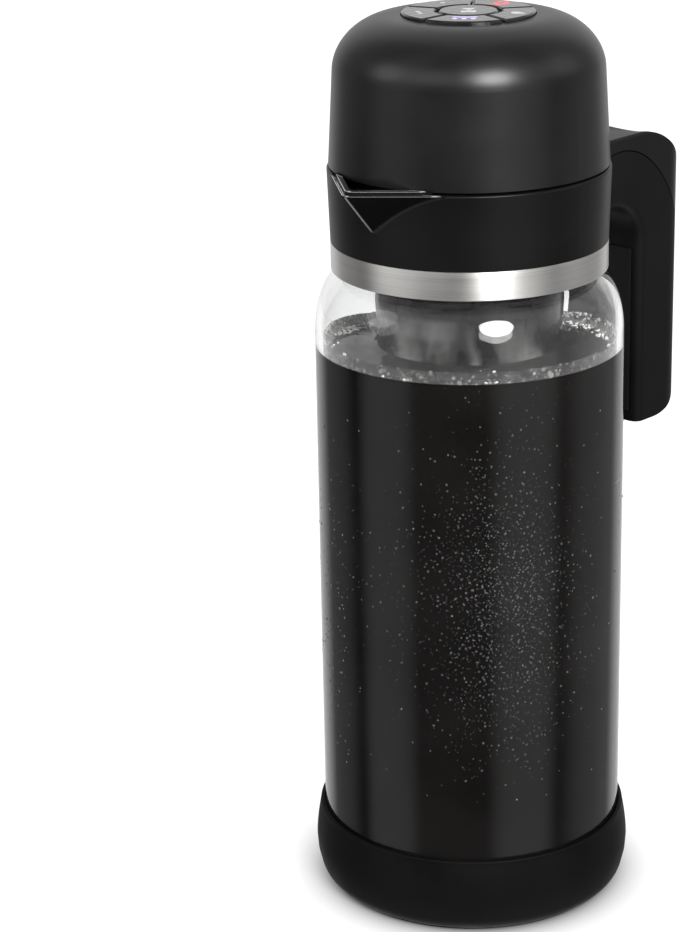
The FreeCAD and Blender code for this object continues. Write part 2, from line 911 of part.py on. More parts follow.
def basket_frame():
    """Cage of ribs and hoops that carries the mesh, with a lap ring that plugs into the tube."""
    top_ring = ring(mesh_bore - column_wall, column_radius, tube_z - frame_ring, tube_z)
    lap = ring(mesh_bore - column_wall, column_bore - fit_gap, tube_z, tube_z + frame_lap)
    low_ring = ring(column_bore, column_radius, housing_top_z, housing_top_z + frame_ring)
    low = housing_top_z + frame_ring
    high = tube_z - frame_ring
    rib = block((column_bore, column_radius), (-rib_width / 2, rib_width / 2), (low, high))
    rib = rib.common(ring(column_bore, column_radius, low, high))
    shapes = [top_ring, lap, low_ring] + spread(rib, rib_count, 180.0 / rib_count)
    for index in range(1, hoop_count + 1):
        z = low + (high - low) * index / (hoop_count + 1)
        shapes.append(ring(column_bore, column_radius, z - hoop_height / 2, z + hoop_height / 2))
    return join(shapes)


def mesh_filter():
    return ring(mesh_bore, mesh_radius, housing_top_z, tube_z - frame_ring)


def uptake_tube():
    """Tube round the shaft with outlets near its top."""
    tube = ring(uptake_bore, uptake_radius, housing_top_z, uptake_top_z)
    top = spider_z() - free_gap
    outlet = block((0, uptake_radius), (-outlet_width / 2, outlet_width / 2), (top - outlet_height, top))
    return cut_all(tube, spread(outlet, outlet_count, 45.0))


def upper_bush():
    """Plain bearing with three vanes in the top of the uptake tube."""
    low = uptake_top_z - bush_length
    sleeve = disc(bush_radius, low, uptake_top_z)
    vane = block((0, uptake_bore - fit_gap), (-bush_wall / 2, bush_wall / 2), (low, uptake_top_z))
    return join([sleeve] + spread(vane, 3)).cut(disc(shaft_radius + shaft_fit, low, uptake_top_z))


def pump_housing():
    """Foot of the column: top plate, outer wall, pump chamber and the uptake tube's socket."""
    socket = uptake_radius + fit_gap
    return join([
        ring(uptake_bore, column_radius, chamber_top_z, housing_top_z),
        ring(column_radius - housing_wall, column_radius, column_foot_z, chamber_top_z),
        ring(chamber_radius, chamber_radius + chamber_wall, chamber_z, chamber_top_z),
        ring(socket, socket + housing_wall, housing_top_z - tiny, housing_top_z + socket_height),
    ])


def lower_bush_radius():
    return bush_radius + bush_wall


def intake_grille():
    """Bottom disc with radial slots and the seat of the lower bush."""
    radius = column_radius - housing_wall - fit_gap
    body = disc(radius, column_foot_z, grille_top_z)
    inner = lower_bush_radius() + housing_wall
    outer = radius - housing_wall
    across = (-grille_slot / 2, grille_slot / 2)
    through = (column_foot_z, grille_top_z)
    slot = block((inner, outer), across, through)
    short = block(((inner + radius) / 2, outer), across, through)
    half = grille_count // 2
    tools = spread(slot, half) + spread(short, half, 180.0 / half)
    tools.append(disc(lower_bush_radius() + fit_gap, column_foot_z + bush_floor, grille_top_z))
    return cut_all(body, tools)


def lower_bush():
    low = column_foot_z + bush_floor
    body = disc(lower_bush_radius(), low, low + bush_length)
    return body.cut(disc(shaft_radius + shaft_fit, low + bush_floor, low + bush_length))


# ---------------------------------------------------------------- pump

def drive_shaft():
    """Long shaft from the lower bush up to the hexagonal drive end."""
    low = column_foot_z + 2 * bush_floor + shaft_fit
    hex_z = coupler_z - coupler_lift / 2
    return disc(shaft_radius, low, hex_z).fuse(hexagon(hex_flats, hex_z, shaft_top_z)).removeSplitter()


def impeller():
    """Open impeller: disc, hub and blades that face down to the intake."""
    top = chamber_top_z - spin_gap
    low = top - impeller_height
    radius = chamber_radius - spin_gap
    plate = disc(radius, top - impeller_disc, top)
    hub = disc(impeller_hub, low, top)
    half_blade = blade_thickness / 2
    blade = block((impeller_hub / 2, radius - spin_gap), (-half_blade, half_blade), (low, top))
    bore = disc(shaft_radius + shaft_fit / 2, low, top)
    return join([plate, hub] + spread(blade, blade_count)).cut(bore)


# ---------------------------------------------------------------- column lid

def column_lid():
    """Spray lid with a skirt in the tube and a well round the drive coupling."""
    skirt_radius = column_bore - free_gap
    body = join([
        disc(column_radius, lid_z, lid_top_z),
        ring(skirt_radius - lid_skirt_wall, skirt_radius, lid_z - lid_skirt, lid_z),
        disc(well_bore + well_wall, well_z - well_floor, lid_z),
    ])
    tools = [
        disc(well_bore, well_z, lid_top_z),
        disc(shaft_radius + free_gap, well_z - well_floor, well_z),
    ]
    spray_circle = (well_bore + well_wall + skirt_radius - lid_skirt_wall) / 2
    spray = disc(spray_hole, lid_z, lid_top_z, spray_circle)
    return cut_all(body, tools + spread(spray, spray_count))


# ---------------------------------------------------------------- power head

def dome_points(inset, count=9):
    """Quarter curve from the drafted side over to the flat top, moved in by an inset."""
    top_radius = shell_radius - head_draft * head_side - dome_width
    rise = dome_rise - inset
    points = []
    for index in range(1, count + 1):
        angle = math.pi / 2 * index / count
        z = shell_side_z + rise * math.sin(angle)
        side = shell_radius - head_draft * (z - shell_z) - inset
        points.append((top_radius + (side - top_radius) * math.cos(angle), z))
    return points


def head_form(inset):
    """Solid form of the head, moved in by an inset all over."""
    side_radius = shell_radius - head_draft * head_side - inset
    return lathe(
        (0, shell_z),
        (shell_radius - inset, shell_z),
        (side_radius, shell_side_z),
        dome_points(inset),
        (0, dome_z - inset),
    )


def arc_key_plan(gap, low, high, reach=0.0):
    """Arc key about +X, grown by a gap, with ends parallel to the radial gaps between the keys."""
    bore = arc_key_bore - gap
    radius = arc_key_radius + gap + reach
    half_gap = key_gap / 2 - gap
    sector = 180.0 / arc_key_count
    inner = sector - math.degrees(math.asin(half_gap / bore))
    outer = sector - math.degrees(math.asin(half_gap / radius))
    edges = [
        Part.Arc(on_circle(bore, -inner), on_circle(bore, 0), on_circle(bore, inner)).toShape(),
        Part.makeLine(on_circle(bore, inner), on_circle(radius, outer)),
        Part.Arc(on_circle(radius, outer), on_circle(radius, 0), on_circle(radius, -outer)).toShape(),
        Part.makeLine(on_circle(radius, -outer), on_circle(bore, -inner)),
    ]
    body = Part.Face(Part.Wire(edges)).extrude(V(0, 0, high - low))
    body.translate(V(0, 0, low))
    return body


def key_angles():
    return [first_key_angle + 360.0 * index / arc_key_count for index in range(arc_key_count)]


def head_bosses():
    """Screw bosses inside the shell: four for the base and three for the control board."""
    low = plate_top_z
    high = low + head_boss_height
    boss = disc(head_boss_radius, low, high, head_boss_circle)
    rib = block((head_boss_circle, shell_radius), (-head_wall / 3, head_wall / 3), (low, high))
    boss = boss.fuse(rib)
    post = disc(board_post_radius, board_top_z, dome_z, board_post_circle)
    shapes = []
    for angle in head_screw_angles():
        shapes.append(turned(boss, angle))
    shapes += spread(post, board_post_count, board_post_angle)
    return [shape.common(head_form(head_wall / 2)) for shape in shapes]


def board_post_places(z=0.0):
    step = 360.0 / board_post_count
    angles = [board_post_angle + step * index for index in range(board_post_count)]
    return [on_circle(board_post_circle, angle, z) for angle in angles]


def head_screw_angles():
    return [head_screw_angle, 180 - head_screw_angle, 180 + head_screw_angle, 360 - head_screw_angle]


def cover_y():
    """Outer surface of the head at the charging port's lower edge."""
    return shell_radius - head_draft * (cover_z() - shell_z)


def cover_z():
    return port_z - cover_height / 2


def head_shell():
    """Domed shell with key openings, screw bosses and the recess of the charging port."""
    body = head_form(0.0).cut(head_form(head_wall))
    body = join([body] + head_bosses())
    low = dome_inside_z - head_wall
    openings = [disc(centre_key_radius + free_gap, low, key_top_z)]
    for angle in key_angles():
        openings.append(turned(arc_key_plan(free_gap, low, key_top_z), angle))
    for angle in head_screw_angles():
        place = on_circle(head_boss_circle, angle)
        top = plate_top_z + screw_bite + screw_end_gap
        openings.append(disc(large_shank + fit_gap / 2, plate_top_z, top, place.x, place.y))
    for place in board_post_places():
        top = board_top_z + screw_bite / 2 + fit_gap
        openings.append(disc(small_shank + fit_gap / 2, board_top_z, top, place.x, place.y))
    half = cover_width / 2 + free_gap
    deep = cover_y() - cover_thickness - free_gap
    high = cover_z() + cover_height + free_gap
    openings.append(block((-half, half), (deep, collar_top_radius), (cover_z() - free_gap, high)))
    half = port_width / 2 + fit_gap
    low = port_z - port_height / 2 - fit_gap
    high = port_z + port_height / 2 + fit_gap
    openings.append(block((-half, half), (spigot_bore, shell_radius), (low, high)))
    return cut_all(body, openings)


def port_cover():
    """Silicone flap, flush with the shell."""
    half = cover_width / 2
    deep = cover_y() - cover_thickness
    blank = block((-half, half), (deep, shell_radius), (cover_z(), cover_z() + cover_height))
    return blank.common(head_form(0.0))


def head_base():
    """Base plate with the spigot, shaft hub and the posts of the bracket and the port board."""
    groove_z = plate_z - spigot_height + spigot_lip
    post = disc(bracket_post_radius, plate_top_z, bracket_z, 0, bracket_post_y())
    shapes = [
        disc(plate_radius, plate_z, plate_top_z),
        ring(spigot_bore, spigot_radius, plate_z - spigot_height, plate_z),
        disc(shaft_seal_radius() + fit_gap + hub_wall, plate_top_z, hub_top_z),
        post,
        turned(post, 180),
        disc(port_post_radius, plate_top_z, port_board_z(), 0, port_post_y()),
    ]
    tools = [
        ring(seal_radius - seal_depth, liner_bore, groove_z - fit_gap, groove_z + seal_height + fit_gap),
        disc(motor_shaft_radius + free_gap, plate_z, hub_top_z),
        disc(shaft_seal_radius() + fit_gap, plate_z + shaft_seal_floor, hub_top_z),
    ]
    for angle in head_screw_angles():
        place = on_circle(head_boss_circle, angle)
        tools.append(disc(large_shank + fit_gap, plate_z, plate_top_z, place.x, place.y))
        tools.append(disc(large_head + fit_gap, plate_z, plate_z + large_head_height, place.x, place.y))
    return cut_all(join(shapes), tools)


def shaft_seal_radius():
    return motor_shaft_radius + shaft_fit + shaft_seal_wall


def bracket_post_y():
    return motor_radius + bracket_post_gap


def port_board_z():
    return port_z - port_height / 2 - port_board_thickness


def port_post_y():
    return port_front_y() - port_length - port_board_size / 4


def port_front_y():
    return cover_y() - cover_thickness - 2 * free_gap


def head_seal():
    low = plate_z - spigot_height + spigot_lip
    return ring(seal_radius - seal_depth + fit_gap, seal_radius, low, low + seal_height)


def shaft_seal():
    low = plate_z + shaft_seal_floor
    return ring(motor_shaft_radius + shaft_fit, shaft_seal_radius(), low, hub_top_z)


def head_screws():
    screws = []
    for angle in head_screw_angles():
        seat = on_circle(head_boss_circle, angle, plate_z + large_head_height)
        length = plate_top_z - seat.z + screw_bite
        screws.append(screw(large_shank, large_head, large_head_height - fit_gap, length, seat, V(0, 0, 1)))
    return screws


# ---------------------------------------------------------------- motor

def motor_bracket():
    """Strip on two posts, with the motor's nose through its middle."""
    half = bracket_width / 2
    end = bracket_post_y()
    strip = block((-half, half), (-end, end), (bracket_z, motor_z))
    pads = [disc(half, bracket_z, motor_z, 0, -end), disc(half, bracket_z, motor_z, 0, end)]
    tools = [disc(nose_radius + fit_gap, bracket_z, motor_z)]
    for y in (-end, -motor_screw_offset, motor_screw_offset, end):
        tools.append(disc(small_shank + fit_gap, bracket_z, motor_z, 0, y))
    return cut_all(join([strip] + pads), tools)


def motor_can():
    """Closed can with a bearing nose."""
    body = disc(motor_radius, motor_z, motor_top_z)
    tools = [
        disc(motor_radius - motor_wall, motor_z + motor_end, motor_top_z - motor_end),
        disc(motor_shaft_radius + shaft_fit, motor_z, motor_top_z - motor_end / 2),
    ]
    for y in (-motor_screw_offset, motor_screw_offset):
        tools.append(disc(small_shank + fit_gap / 2, motor_z, motor_z + motor_end, 0, y))
    return cut_all(body, tools)


def motor_screws():
    """Two screws through the bracket into the motor's nose."""
    screws = []
    for y in (-motor_screw_offset, motor_screw_offset):
        seat = V(0, y, bracket_z)
        length = bracket_thickness + motor_end
        screws.append(screw(small_shank, small_head, small_head_height, length, seat, V(0, 0, 1)))
    return screws


def motor_rotor():
    """Rotor with its shaft, which runs down through the seal to the coupler."""
    shaft_end = motor_top_z - motor_end / 2 - shaft_fit
    shaft = disc(motor_shaft_radius, coupler_top_z - hex_length / 3, shaft_end)
    low = (motor_z + motor_top_z - rotor_length) / 2
    return shaft.fuse(disc(rotor_radius, low, low + rotor_length)).removeSplitter()


def drive_coupler():
    """Socket that drops over the shaft's hexagon."""
    body = disc(coupler_radius, coupler_z, coupler_top_z)
    tools = [
        hexagon(hex_flats + 2 * hex_fit, coupler_z, shaft_top_z + free_gap),
        disc(motor_shaft_radius + shaft_fit / 2, coupler_top_z - hex_length / 3, coupler_top_z),
    ]
    return cut_all(body, tools)


# ---------------------------------------------------------------- batteries, boards and port

def battery_cells():
    cells = []
    half = cell_length / 2
    for x in (-cell_x, cell_x):
        can = rod(cell_radius, V(x, -half, cell_z), V(x, half - cell_cap_height, cell_z))
        cap = rod(cell_cap_radius, V(x, half - cell_cap_height, cell_z), V(x, half, cell_z))
        cells.append(join([can, cap]))
    return cells


def battery_cradle():
    """Two saddles on the base plate."""
    half = cradle_length / 2
    half_width = cradle_width / 2
    saddles = []
    for x in (-cell_x, cell_x):
        body = block((x - half_width, x + half_width), (-half, half), (plate_top_z, cell_z))
        saddles.append(body.cut(rod(cell_radius + fit_gap, V(x, -half, cell_z), V(x, half, cell_z))))
    return saddles


def control_board():
    hole = small_shank + fit_gap
    tools = [disc(hole, board_z, board_top_z, place.x, place.y) for place in board_post_places()]
    return cut_all(disc(board_radius, board_z, board_top_z), tools)


def board_screws():
    screws = []
    for seat in board_post_places(board_z):
        length = board_thickness + screw_bite / 2
        screws.append(screw(small_shank, small_head, small_head_height, length, seat, V(0, 0, 1)))
    return screws


def key_places():
    return [V(0, 0, 0)] + [on_circle(arc_key_circle, angle) for angle in key_angles()]


def key_switches():
    """Switch bodies on the board, each with a bore for the key's stem."""
    half = switch_size / 2
    switches = []
    for place in key_places():
        across = (place.x - half, place.x + half)
        along = (place.y - half, place.y + half)
        body = block(across, along, (board_top_z, switch_top_z))
        bore_z = switch_top_z - stem_entry - key_travel - free_gap
        switches.append(body.cut(disc(stem_radius + free_gap, bore_z, switch_top_z, place.x, place.y)))
    return switches


def indicator_leds():
    """One small lamp on the board beside each switch."""
    lamps = []
    for place in key_places():
        x = place.x + led_offset
        across = (x - led_length / 2, x + led_length / 2)
        along = (place.y - led_width / 2, place.y + led_width / 2)
        lamps.append(block(across, along, (board_top_z, board_top_z + led_height)))
    return lamps


def key_guide():
    """Plate that guides the stems, on three legs that stand on the board."""
    radius = board_post_circle - board_post_radius - free_gap
    body = disc(radius, guide_z, guide_top_z)
    leg = disc(board_post_radius / 2, board_top_z, guide_z, radius - board_post_radius)
    body = join([body] + spread(leg, board_post_count, board_post_angle))
    tools = [disc(stem_radius + free_gap, guide_z, guide_top_z, place.x, place.y) for place in key_places()]
    return cut_all(body, tools)


def charge_port():
    """Metal shell of the charging socket."""
    back = port_front_y() - port_length
    half = port_width / 2
    high = port_height / 2
    front = port_front_y()
    body = block((-half, half), (back, front), (port_z - high, port_z + high))
    half -= port_metal
    high -= port_metal
    inner = block((-half, half), (back + port_metal, front), (port_z - high, port_z + high))
    return body.cut(inner)


def port_board():
    half = port_board_size / 2
    back = port_post_y() - port_post_radius
    front = port_front_y() - port_length / 2
    return block((-half, half), (back, front), (port_board_z(), port_board_z() + port_board_thickness))


def wiring():
    """Short leads up to the control board: from the motor, the cells and the port board."""
    wires = []
    for x in (-motor_wire_offset, motor_wire_offset):
        wires.append(disc(wire_radius, motor_top_z, board_z, x))
    for x in (-cell_x, cell_x):
        wires.append(disc(wire_radius, cell_z + cell_radius, board_z, x, cell_length / 3))
    board_top = port_board_z() + port_board_thickness
    wires.append(disc(wire_radius, board_top, board_z, 0, board_radius - 2 * wire_radius))
    return wires


# ---------------------------------------------------------------- keys

def centre_key():
    body = disc(centre_key_radius, key_flange_z, key_top_z)
    top_edge = [edge for edge in body.Edges if edge.BoundBox.ZMin > key_top_z - tiny]
    body = body.makeChamfer(key_edge, top_edge)
    flange = disc(centre_key_radius + key_flange_reach, key_flange_z, key_flange_top_z)
    return join([body, flange, key_stem(V(0, 0, 0))])


def key_stem(place):
    return disc(stem_radius, switch_top_z - stem_entry, key_flange_z, place.x, place.y)


def arc_key(angle):
    body = arc_key_plan(0.0, key_flange_z, key_top_z)
    top_edges = [edge for edge in body.Edges if edge.BoundBox.ZMin > key_top_z - tiny]
    body = body.makeChamfer(key_edge, top_edges)
    flange = arc_key_plan(0.0, key_flange_z, key_flange_top_z, key_flange_reach)
    stem = key_stem(V(arc_key_circle, 0, 0))
    return turned(join([body, flange, stem]), angle)


# ---------------------------------------------------------------- files

os.makedirs("parts", exist_ok=True)
save(glass_carafe(), "glass_carafe")
save(base_boot(), "base_boot")
save(steel_band(), "steel_band")
save(neck_clamp(), "neck_clamp")
save(clamp_screws(), "clamp_screws")
save(neck_gasket(), "neck_gasket")
save(spout_collar(), "spout_collar")
save(pour_liner(), "pour_liner")
save(handle_frame(), "handle_frame")
save(handle_grip(), "handle_grip")
save(handle_pad(), "handle_pad")
save(grip_screws(), "grip_screws")
save(handle_screws(), "handle_screws")
save(column_tube(), "column_tube")
save(basket_frame(), "basket_frame")
save(mesh_filter(), "mesh_filter")
save(uptake_tube(), "uptake_tube")
save(upper_bush(), "upper_bush")
save(lower_bush(), "lower_bush")
save(pump_housing(), "pump_housing")
save(intake_grille(), "intake_grille")
save(drive_shaft(), "drive_shaft")
save(impeller(), "impeller")
save(column_lid(), "column_lid")
save(head_shell(), "head_shell")
save(head_base(), "head_base")
save(head_seal(), "head_seal")
save(shaft_seal(), "shaft_seal")
save(head_screws(), "head_screws")
save(motor_bracket(), "motor_bracket")
save(motor_can(), "motor_can")
save(motor_screws(), "motor_screws")
save(motor_rotor(), "motor_rotor")
save(drive_coupler(), "drive_coupler")
save(battery_cells(), "battery_cells")
save(battery_cradle(), "battery_cradle")
save(control_board(), "control_board")
save(board_screws(), "board_screws")
save(key_switches(), "key_switches")
save(indicator_leds(), "indicator_leds")
save(key_guide(), "key_guide")
save(charge_port(), "charge_port")
save(port_board(), "port_board")
save(port_cover(), "port_cover")
save(wiring(), "wiring")
save(centre_key(), "start_key")
arc_key_names = ("power_key", "light_key", "medium_key", "bold_key", "rinse_key")
for key_name, key_angle in zip(arc_key_names, key_angles()):
    save(arc_key(key_angle), key_name)
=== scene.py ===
from math import cos, degrees, exp, pi, radians, sin, tan

import bmesh
import bpy
from mathutils import Matrix, Vector, noise


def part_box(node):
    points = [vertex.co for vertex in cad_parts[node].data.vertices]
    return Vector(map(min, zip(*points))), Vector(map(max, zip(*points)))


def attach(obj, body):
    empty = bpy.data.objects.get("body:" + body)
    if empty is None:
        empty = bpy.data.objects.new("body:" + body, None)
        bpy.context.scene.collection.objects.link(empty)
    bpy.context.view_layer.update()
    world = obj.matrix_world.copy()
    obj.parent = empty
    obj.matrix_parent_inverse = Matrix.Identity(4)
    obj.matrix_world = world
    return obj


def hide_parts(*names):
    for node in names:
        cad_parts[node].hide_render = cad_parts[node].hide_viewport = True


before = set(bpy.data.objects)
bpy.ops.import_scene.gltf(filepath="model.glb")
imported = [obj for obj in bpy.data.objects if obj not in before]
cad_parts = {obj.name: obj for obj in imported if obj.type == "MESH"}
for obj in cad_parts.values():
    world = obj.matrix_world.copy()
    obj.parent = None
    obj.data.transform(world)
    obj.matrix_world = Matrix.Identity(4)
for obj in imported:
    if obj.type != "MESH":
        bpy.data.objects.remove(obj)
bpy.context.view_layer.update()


# ---------------------------------------------------------------- camera
# A long lens a little above the lid. It looks down at the spout side, with the handle
# behind the body on the right.
camera = bpy.data.objects.new("camera", bpy.data.cameras.new("camera"))
bpy.context.collection.objects.link(camera)
camera.data.lens = 104.27
camera.matrix_world = (
    Matrix.Translation((0.6118, -0.7038, 0.4861))
    @ Matrix.Rotation(radians(43.931), 4, "Z")
    @ Matrix.Rotation(radians(90 - 19.177), 4, "X")
    @ Matrix.Rotation(radians(-1.163), 4, "Z")
)
bpy.context.scene.camera = camera
bpy.context.scene.view_settings.view_transform = "Standard"


# ---------------------------------------------------------------- studio
# A white table and a white room behind the maker. The room in front is dim: soft strips of
# light round it, two soft patches higher up, and two round lamps.
facing = -49.0                      # direction of the camera seen from the body's axis


def add_node(tree, kind, inputs=None, **settings):
    """Adds a node. An input that is a socket is linked, any other is set."""
    made = tree.nodes.new(kind if kind.startswith(("Geometry", "Function")) else "ShaderNode" + kind)
    for key, value in settings.items():
        setattr(made, key, value)
    for key, value in (inputs or {}).items():
        if isinstance(value, bpy.types.NodeSocket):
            tree.links.new(value, made.inputs[key])
        else:
            made.inputs[key].default_value = value
    return made


def maths(tree, operation, *values):
    """Arithmetic on sockets and numbers."""
    return add_node(tree, "Math", dict(enumerate(values)), operation=operation).outputs["Value"]


def ramp(tree, value, start, end, low=0.0, high=1.0, **settings):
    """Goes from low to high while a value goes from start to end."""
    ends = {"Value": value, "From Min": start, "From Max": end, "To Min": low, "To Max": high}
    return add_node(tree, "MapRange", ends, **settings).outputs["Result"]


def mix_values(tree, share, first, second):
    return add_node(tree, "Mix", {0: share, 2: first, 3: second}).outputs[0]


def mix_colours(tree, share, first, second):
    """Blends two colours. Each is a socket or three numbers."""
    first, second = (
        colour if isinstance(colour, bpy.types.NodeSocket) else (*colour, 1) for colour in (first, second))
    return add_node(tree, "Mix", {0: share, 6: first, 7: second}, data_type="RGBA").outputs[2]


def object_place(tree):
    """A point's place on the object, in metres."""
    return add_node(tree, "TexCoord").outputs["Object"]


def axes(tree, vector):
    return add_node(tree, "SeparateXYZ", {0: vector}).outputs


def level_part(tree, vector):
    """A vector without its height."""
    return add_node(tree, "VectorMath", {0: vector, 1: (1, 1, 0)}, operation="MULTIPLY").outputs["Vector"]


def vector_length(tree, vector):
    return add_node(tree, "VectorMath", {0: vector}, operation="LENGTH").outputs["Value"]


def seen_directly(tree):
    """Is 1 for what the camera sees itself or through glass, and 0 for light and mirror images."""
    rays = add_node(tree, "LightPath").outputs
    return maths(tree, "MAXIMUM", rays["Is Camera Ray"], rays["Is Transmission Ray"])


def strip(tree, heading, turned, inside, outside, strength):
    """Brightness of one patch of the room, round a compass direction."""
    angle = radians(facing + turned)
    towards = {0: heading, 1: (cos(angle), sin(angle), 0)}
    along = add_node(tree, "VectorMath", towards, operation="DOT_PRODUCT").outputs["Value"]
    return ramp(tree, along, cos(radians(outside)), cos(radians(inside)), high=strength,
                interpolation_type="SMOOTHSTEP")


def layer(tree, height, start, end, strength=1.0):
    """Brightness that grows from one height in the room to another, as the sine of the elevation."""
    return ramp(tree, height, start, end, high=strength, interpolation_type="SMOOTHSTEP")


room = bpy.data.worlds.new("room")
bpy.context.scene.world = room
room.use_nodes = True
tree = room.node_tree
tree.nodes.clear()
direction = add_node(tree, "TexCoord").outputs["Generated"]
level = level_part(tree, direction)
heading = add_node(tree, "VectorMath", {0: level}, operation="NORMALIZE").outputs["Vector"]
height = axes(tree, direction)["Z"]
above = maths(tree, "MULTIPLY", layer(tree, height, 0.1, 0.32), layer(tree, height, 0.72, 0.55))
mirrored = 0.05
for patch in (
    strip(tree, heading, 180, 28, 50, 0.72),
    strip(tree, heading, 42, 3, 32, 0.55),
    strip(tree, heading, -66, 4, 28, 0.46),
    strip(tree, heading, -122, 6, 28, 0.2),
    layer(tree, height, -0.68, -0.88, 0.9),
    strip(tree, heading, 112, 8, 40, 0.28),
    maths(tree, "MULTIPLY", strip(tree, heading, -34, 6, 28, 1.6), above),
    maths(tree, "MULTIPLY", strip(tree, heading, 86, 6, 28, 0.9), above),
):
    mirrored = maths(tree, "ADD", mirrored, patch)
ambient = 0.5
soft = mix_values(tree, add_node(tree, "LightPath").outputs["Is Glossy Ray"], ambient, mirrored)
strength = mix_values(tree, seen_directly(tree), soft, 1.0)
background = add_node(tree, "Background", {"Color": (1, 1, 1, 1), "Strength": strength})
tree.links.new(background.outputs[0], add_node(tree, "OutputWorld").inputs["Surface"])

bpy.ops.mesh.primitive_plane_add(size=8)
table = bpy.context.object
table.name = "table"
table.visible_glossy = False
white = bpy.data.materials.new("white_table")
white.use_nodes = True
tree = white.node_tree
tree.nodes.clear()
seen = seen_directly(tree)
# Painted shadow: the table's glow for the camera is dimmed near the body's axis, round its foot, on top of
# the faint shadow the paper really takes.
painted_shadow_start = 0.056                  # distance from the axis where the shadow starts to fade
painted_shadow_fade = 0.0095                # over which it falls to about a third
open_glow = 1.05
painted_shadow_depth = 0.75
from_axis = vector_length(tree, object_place(tree))
beyond = ramp(tree, from_axis, painted_shadow_start, painted_shadow_start + painted_shadow_fade, 0, -1, clamp=False)
glow = maths(tree, "MULTIPLY_ADD", maths(tree, "EXPONENT", beyond), -painted_shadow_depth, open_glow)
glow = maths(tree, "MULTIPLY", seen, glow)
shade = mix_colours(tree, seen, (0.8, 0.8, 0.8), (0.2, 0.2, 0.2))
paper = add_node(tree, "BsdfDiffuse", {"Color": shade}).outputs[0]
shine = add_node(tree, "Emission", {"Color": (1, 1, 1, 1), "Strength": glow}).outputs[0]
both = add_node(tree, "AddShader", {0: paper, 1: shine}).outputs[0]
tree.links.new(both, add_node(tree, "OutputMaterial").inputs["Surface"])
table.data.materials.append(white)


def soft_box(name, turned, lift, distance, size, watts):
    """Round lamp aimed at the middle of the head, at an angle from the camera and above the table."""
    lamp = bpy.data.objects.new(name, bpy.data.lights.new(name, "AREA"))
    bpy.context.collection.objects.link(lamp)
    lamp.data.shape = "DISK"
    lamp.data.size = size
    lamp.data.energy = watts
    angle = radians(facing + turned)
    rise = radians(lift)
    target = Vector((0, 0, 0.26))
    out = Vector((cos(angle) * cos(rise), sin(angle) * cos(rise), sin(rise)))
    lamp.location = target + out * distance
    lamp.rotation_mode = "QUATERNION"
    lamp.rotation_quaternion = out.to_track_quat("Z", "Y")


soft_box("key_light", 21, 27, 1.3, 0.56, 20)
soft_box("side_light", -74, 24, 1.3, 0.6, 2)


# ---------------------------------------------------------------- glass carafe
# Blown borosilicate body with a thick floor, a rounded shoulder and a rolled bead at the
# neck. The boot holds it below and the clamp grips it under the bead. All in millimetres.
MM = 0.001
body_radius = 55.5
wall = 2.8
body_bore = body_radius - wall
glass_foot = 3.0
floor_top = 9.0
foot_round = 9.0
shoulder_z = 214.0
shoulder_rise = 23.0
neck_radius = 44.0
bead_z = 246.0
bead_radius = 45.4
bead_round = 1.4
rim_z = 248.6


def rounded(profile):
    """Profile of (radius, height) points in millimetres. A third number rounds that corner."""
    points = []
    count = len(profile)
    for index, corner in enumerate(profile):
        here = Vector(corner[:2])
        if len(corner) < 3:
            points.append(here)
            continue
        before = Vector(profile[index - 1][:2]) - here
        after = Vector(profile[(index + 1) % count][:2]) - here
        half = before.angle(after) / 2
        radius = corner[2]
        middle = here + (before.normalized() + after.normalized()).normalized() * (radius / sin(half))
        start = here + before.normalized() * (radius / tan(half)) - middle
        end = here + after.normalized() * (radius / tan(half)) - middle
        sweep = start.angle_signed(end)
        steps = max(3, round(abs(sweep) / radians(13)))
        for step in range(steps + 1):
            turned = start.copy()
            turned.rotate(Matrix.Rotation(-sweep * step / steps, 2))
            points.append(middle + turned)
    return points


def round_point(radius, angle, height):
    """Point in metres, from a radius and height in millimetres."""
    return radius * MM * cos(angle), radius * MM * sin(angle), height * MM


def lathe(name, profile):
    """Turned piece: a closed profile, or one that starts and ends on the axis."""
    around = 256
    shape = bmesh.new()
    rings = []
    for radius, height in rounded(profile):
        if radius < 1e-6:
            rings.append([shape.verts.new((0, 0, height * MM))] * around)
            continue
        angles = [2 * pi * k / around for k in range(around)]
        rings.append([shape.verts.new(round_point(radius, angle, height)) for angle in angles])
    on_axis = profile[0][0] == 0
    for low, high in zip(rings, rings[1:] + ([] if on_axis else rings[:1])):
        for k in range(around):
            corners = [low[k], low[(k + 1) % around], high[(k + 1) % around], high[k]]
            corners = list(dict.fromkeys(corners))
            if len(corners) > 2:
                shape.faces.new(corners)
    bmesh.ops.recalc_face_normals(shape, faces=shape.faces)
    return finished(name, shape)


def finished(name, shape, crease=32):
    """Object from a shape, smooth but for edges that turn by more than the crease."""
    mesh = bpy.data.meshes.new(name)
    shape.to_mesh(mesh)
    shape.free()
    mesh.shade_smooth()
    mesh.set_sharp_from_angle(angle=radians(crease))
    made = bpy.data.objects.new(name, mesh)
    bpy.context.collection.objects.link(made)
    return made


def fit(piece, body, slot, finish, *nodes):
    """Gives a piece its finish and its body, and lets it stand for CAD nodes."""
    piece.data.materials.clear()
    piece.data.materials.append(finish)
    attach(piece, body)
    if nodes:
        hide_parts(*nodes)


def new_finish(name, **values):
    """Material with one Principled shader. Values are set on its own sockets."""
    finish = bpy.data.materials.new(name)
    finish.use_nodes = True
    tree = finish.node_tree
    tree.nodes.clear()
    shader = add_node(tree, "BsdfPrincipled")
    for key, value in values.items():
        socket = shader.inputs[key.replace("_", " ")]
        socket.default_value = (*value, 1) if isinstance(value, tuple) and len(value) == 3 else value
    tree.links.new(shader.outputs[0], add_node(tree, "OutputMaterial").inputs["Surface"])
    return finish, tree, shader


def feed(shader, **sockets):
    """Links sockets to a shader's inputs, which are named as in Base_Color."""
    for key, socket in sockets.items():
        shader.id_data.links.new(socket, shader.inputs[key.replace("_", " ")])


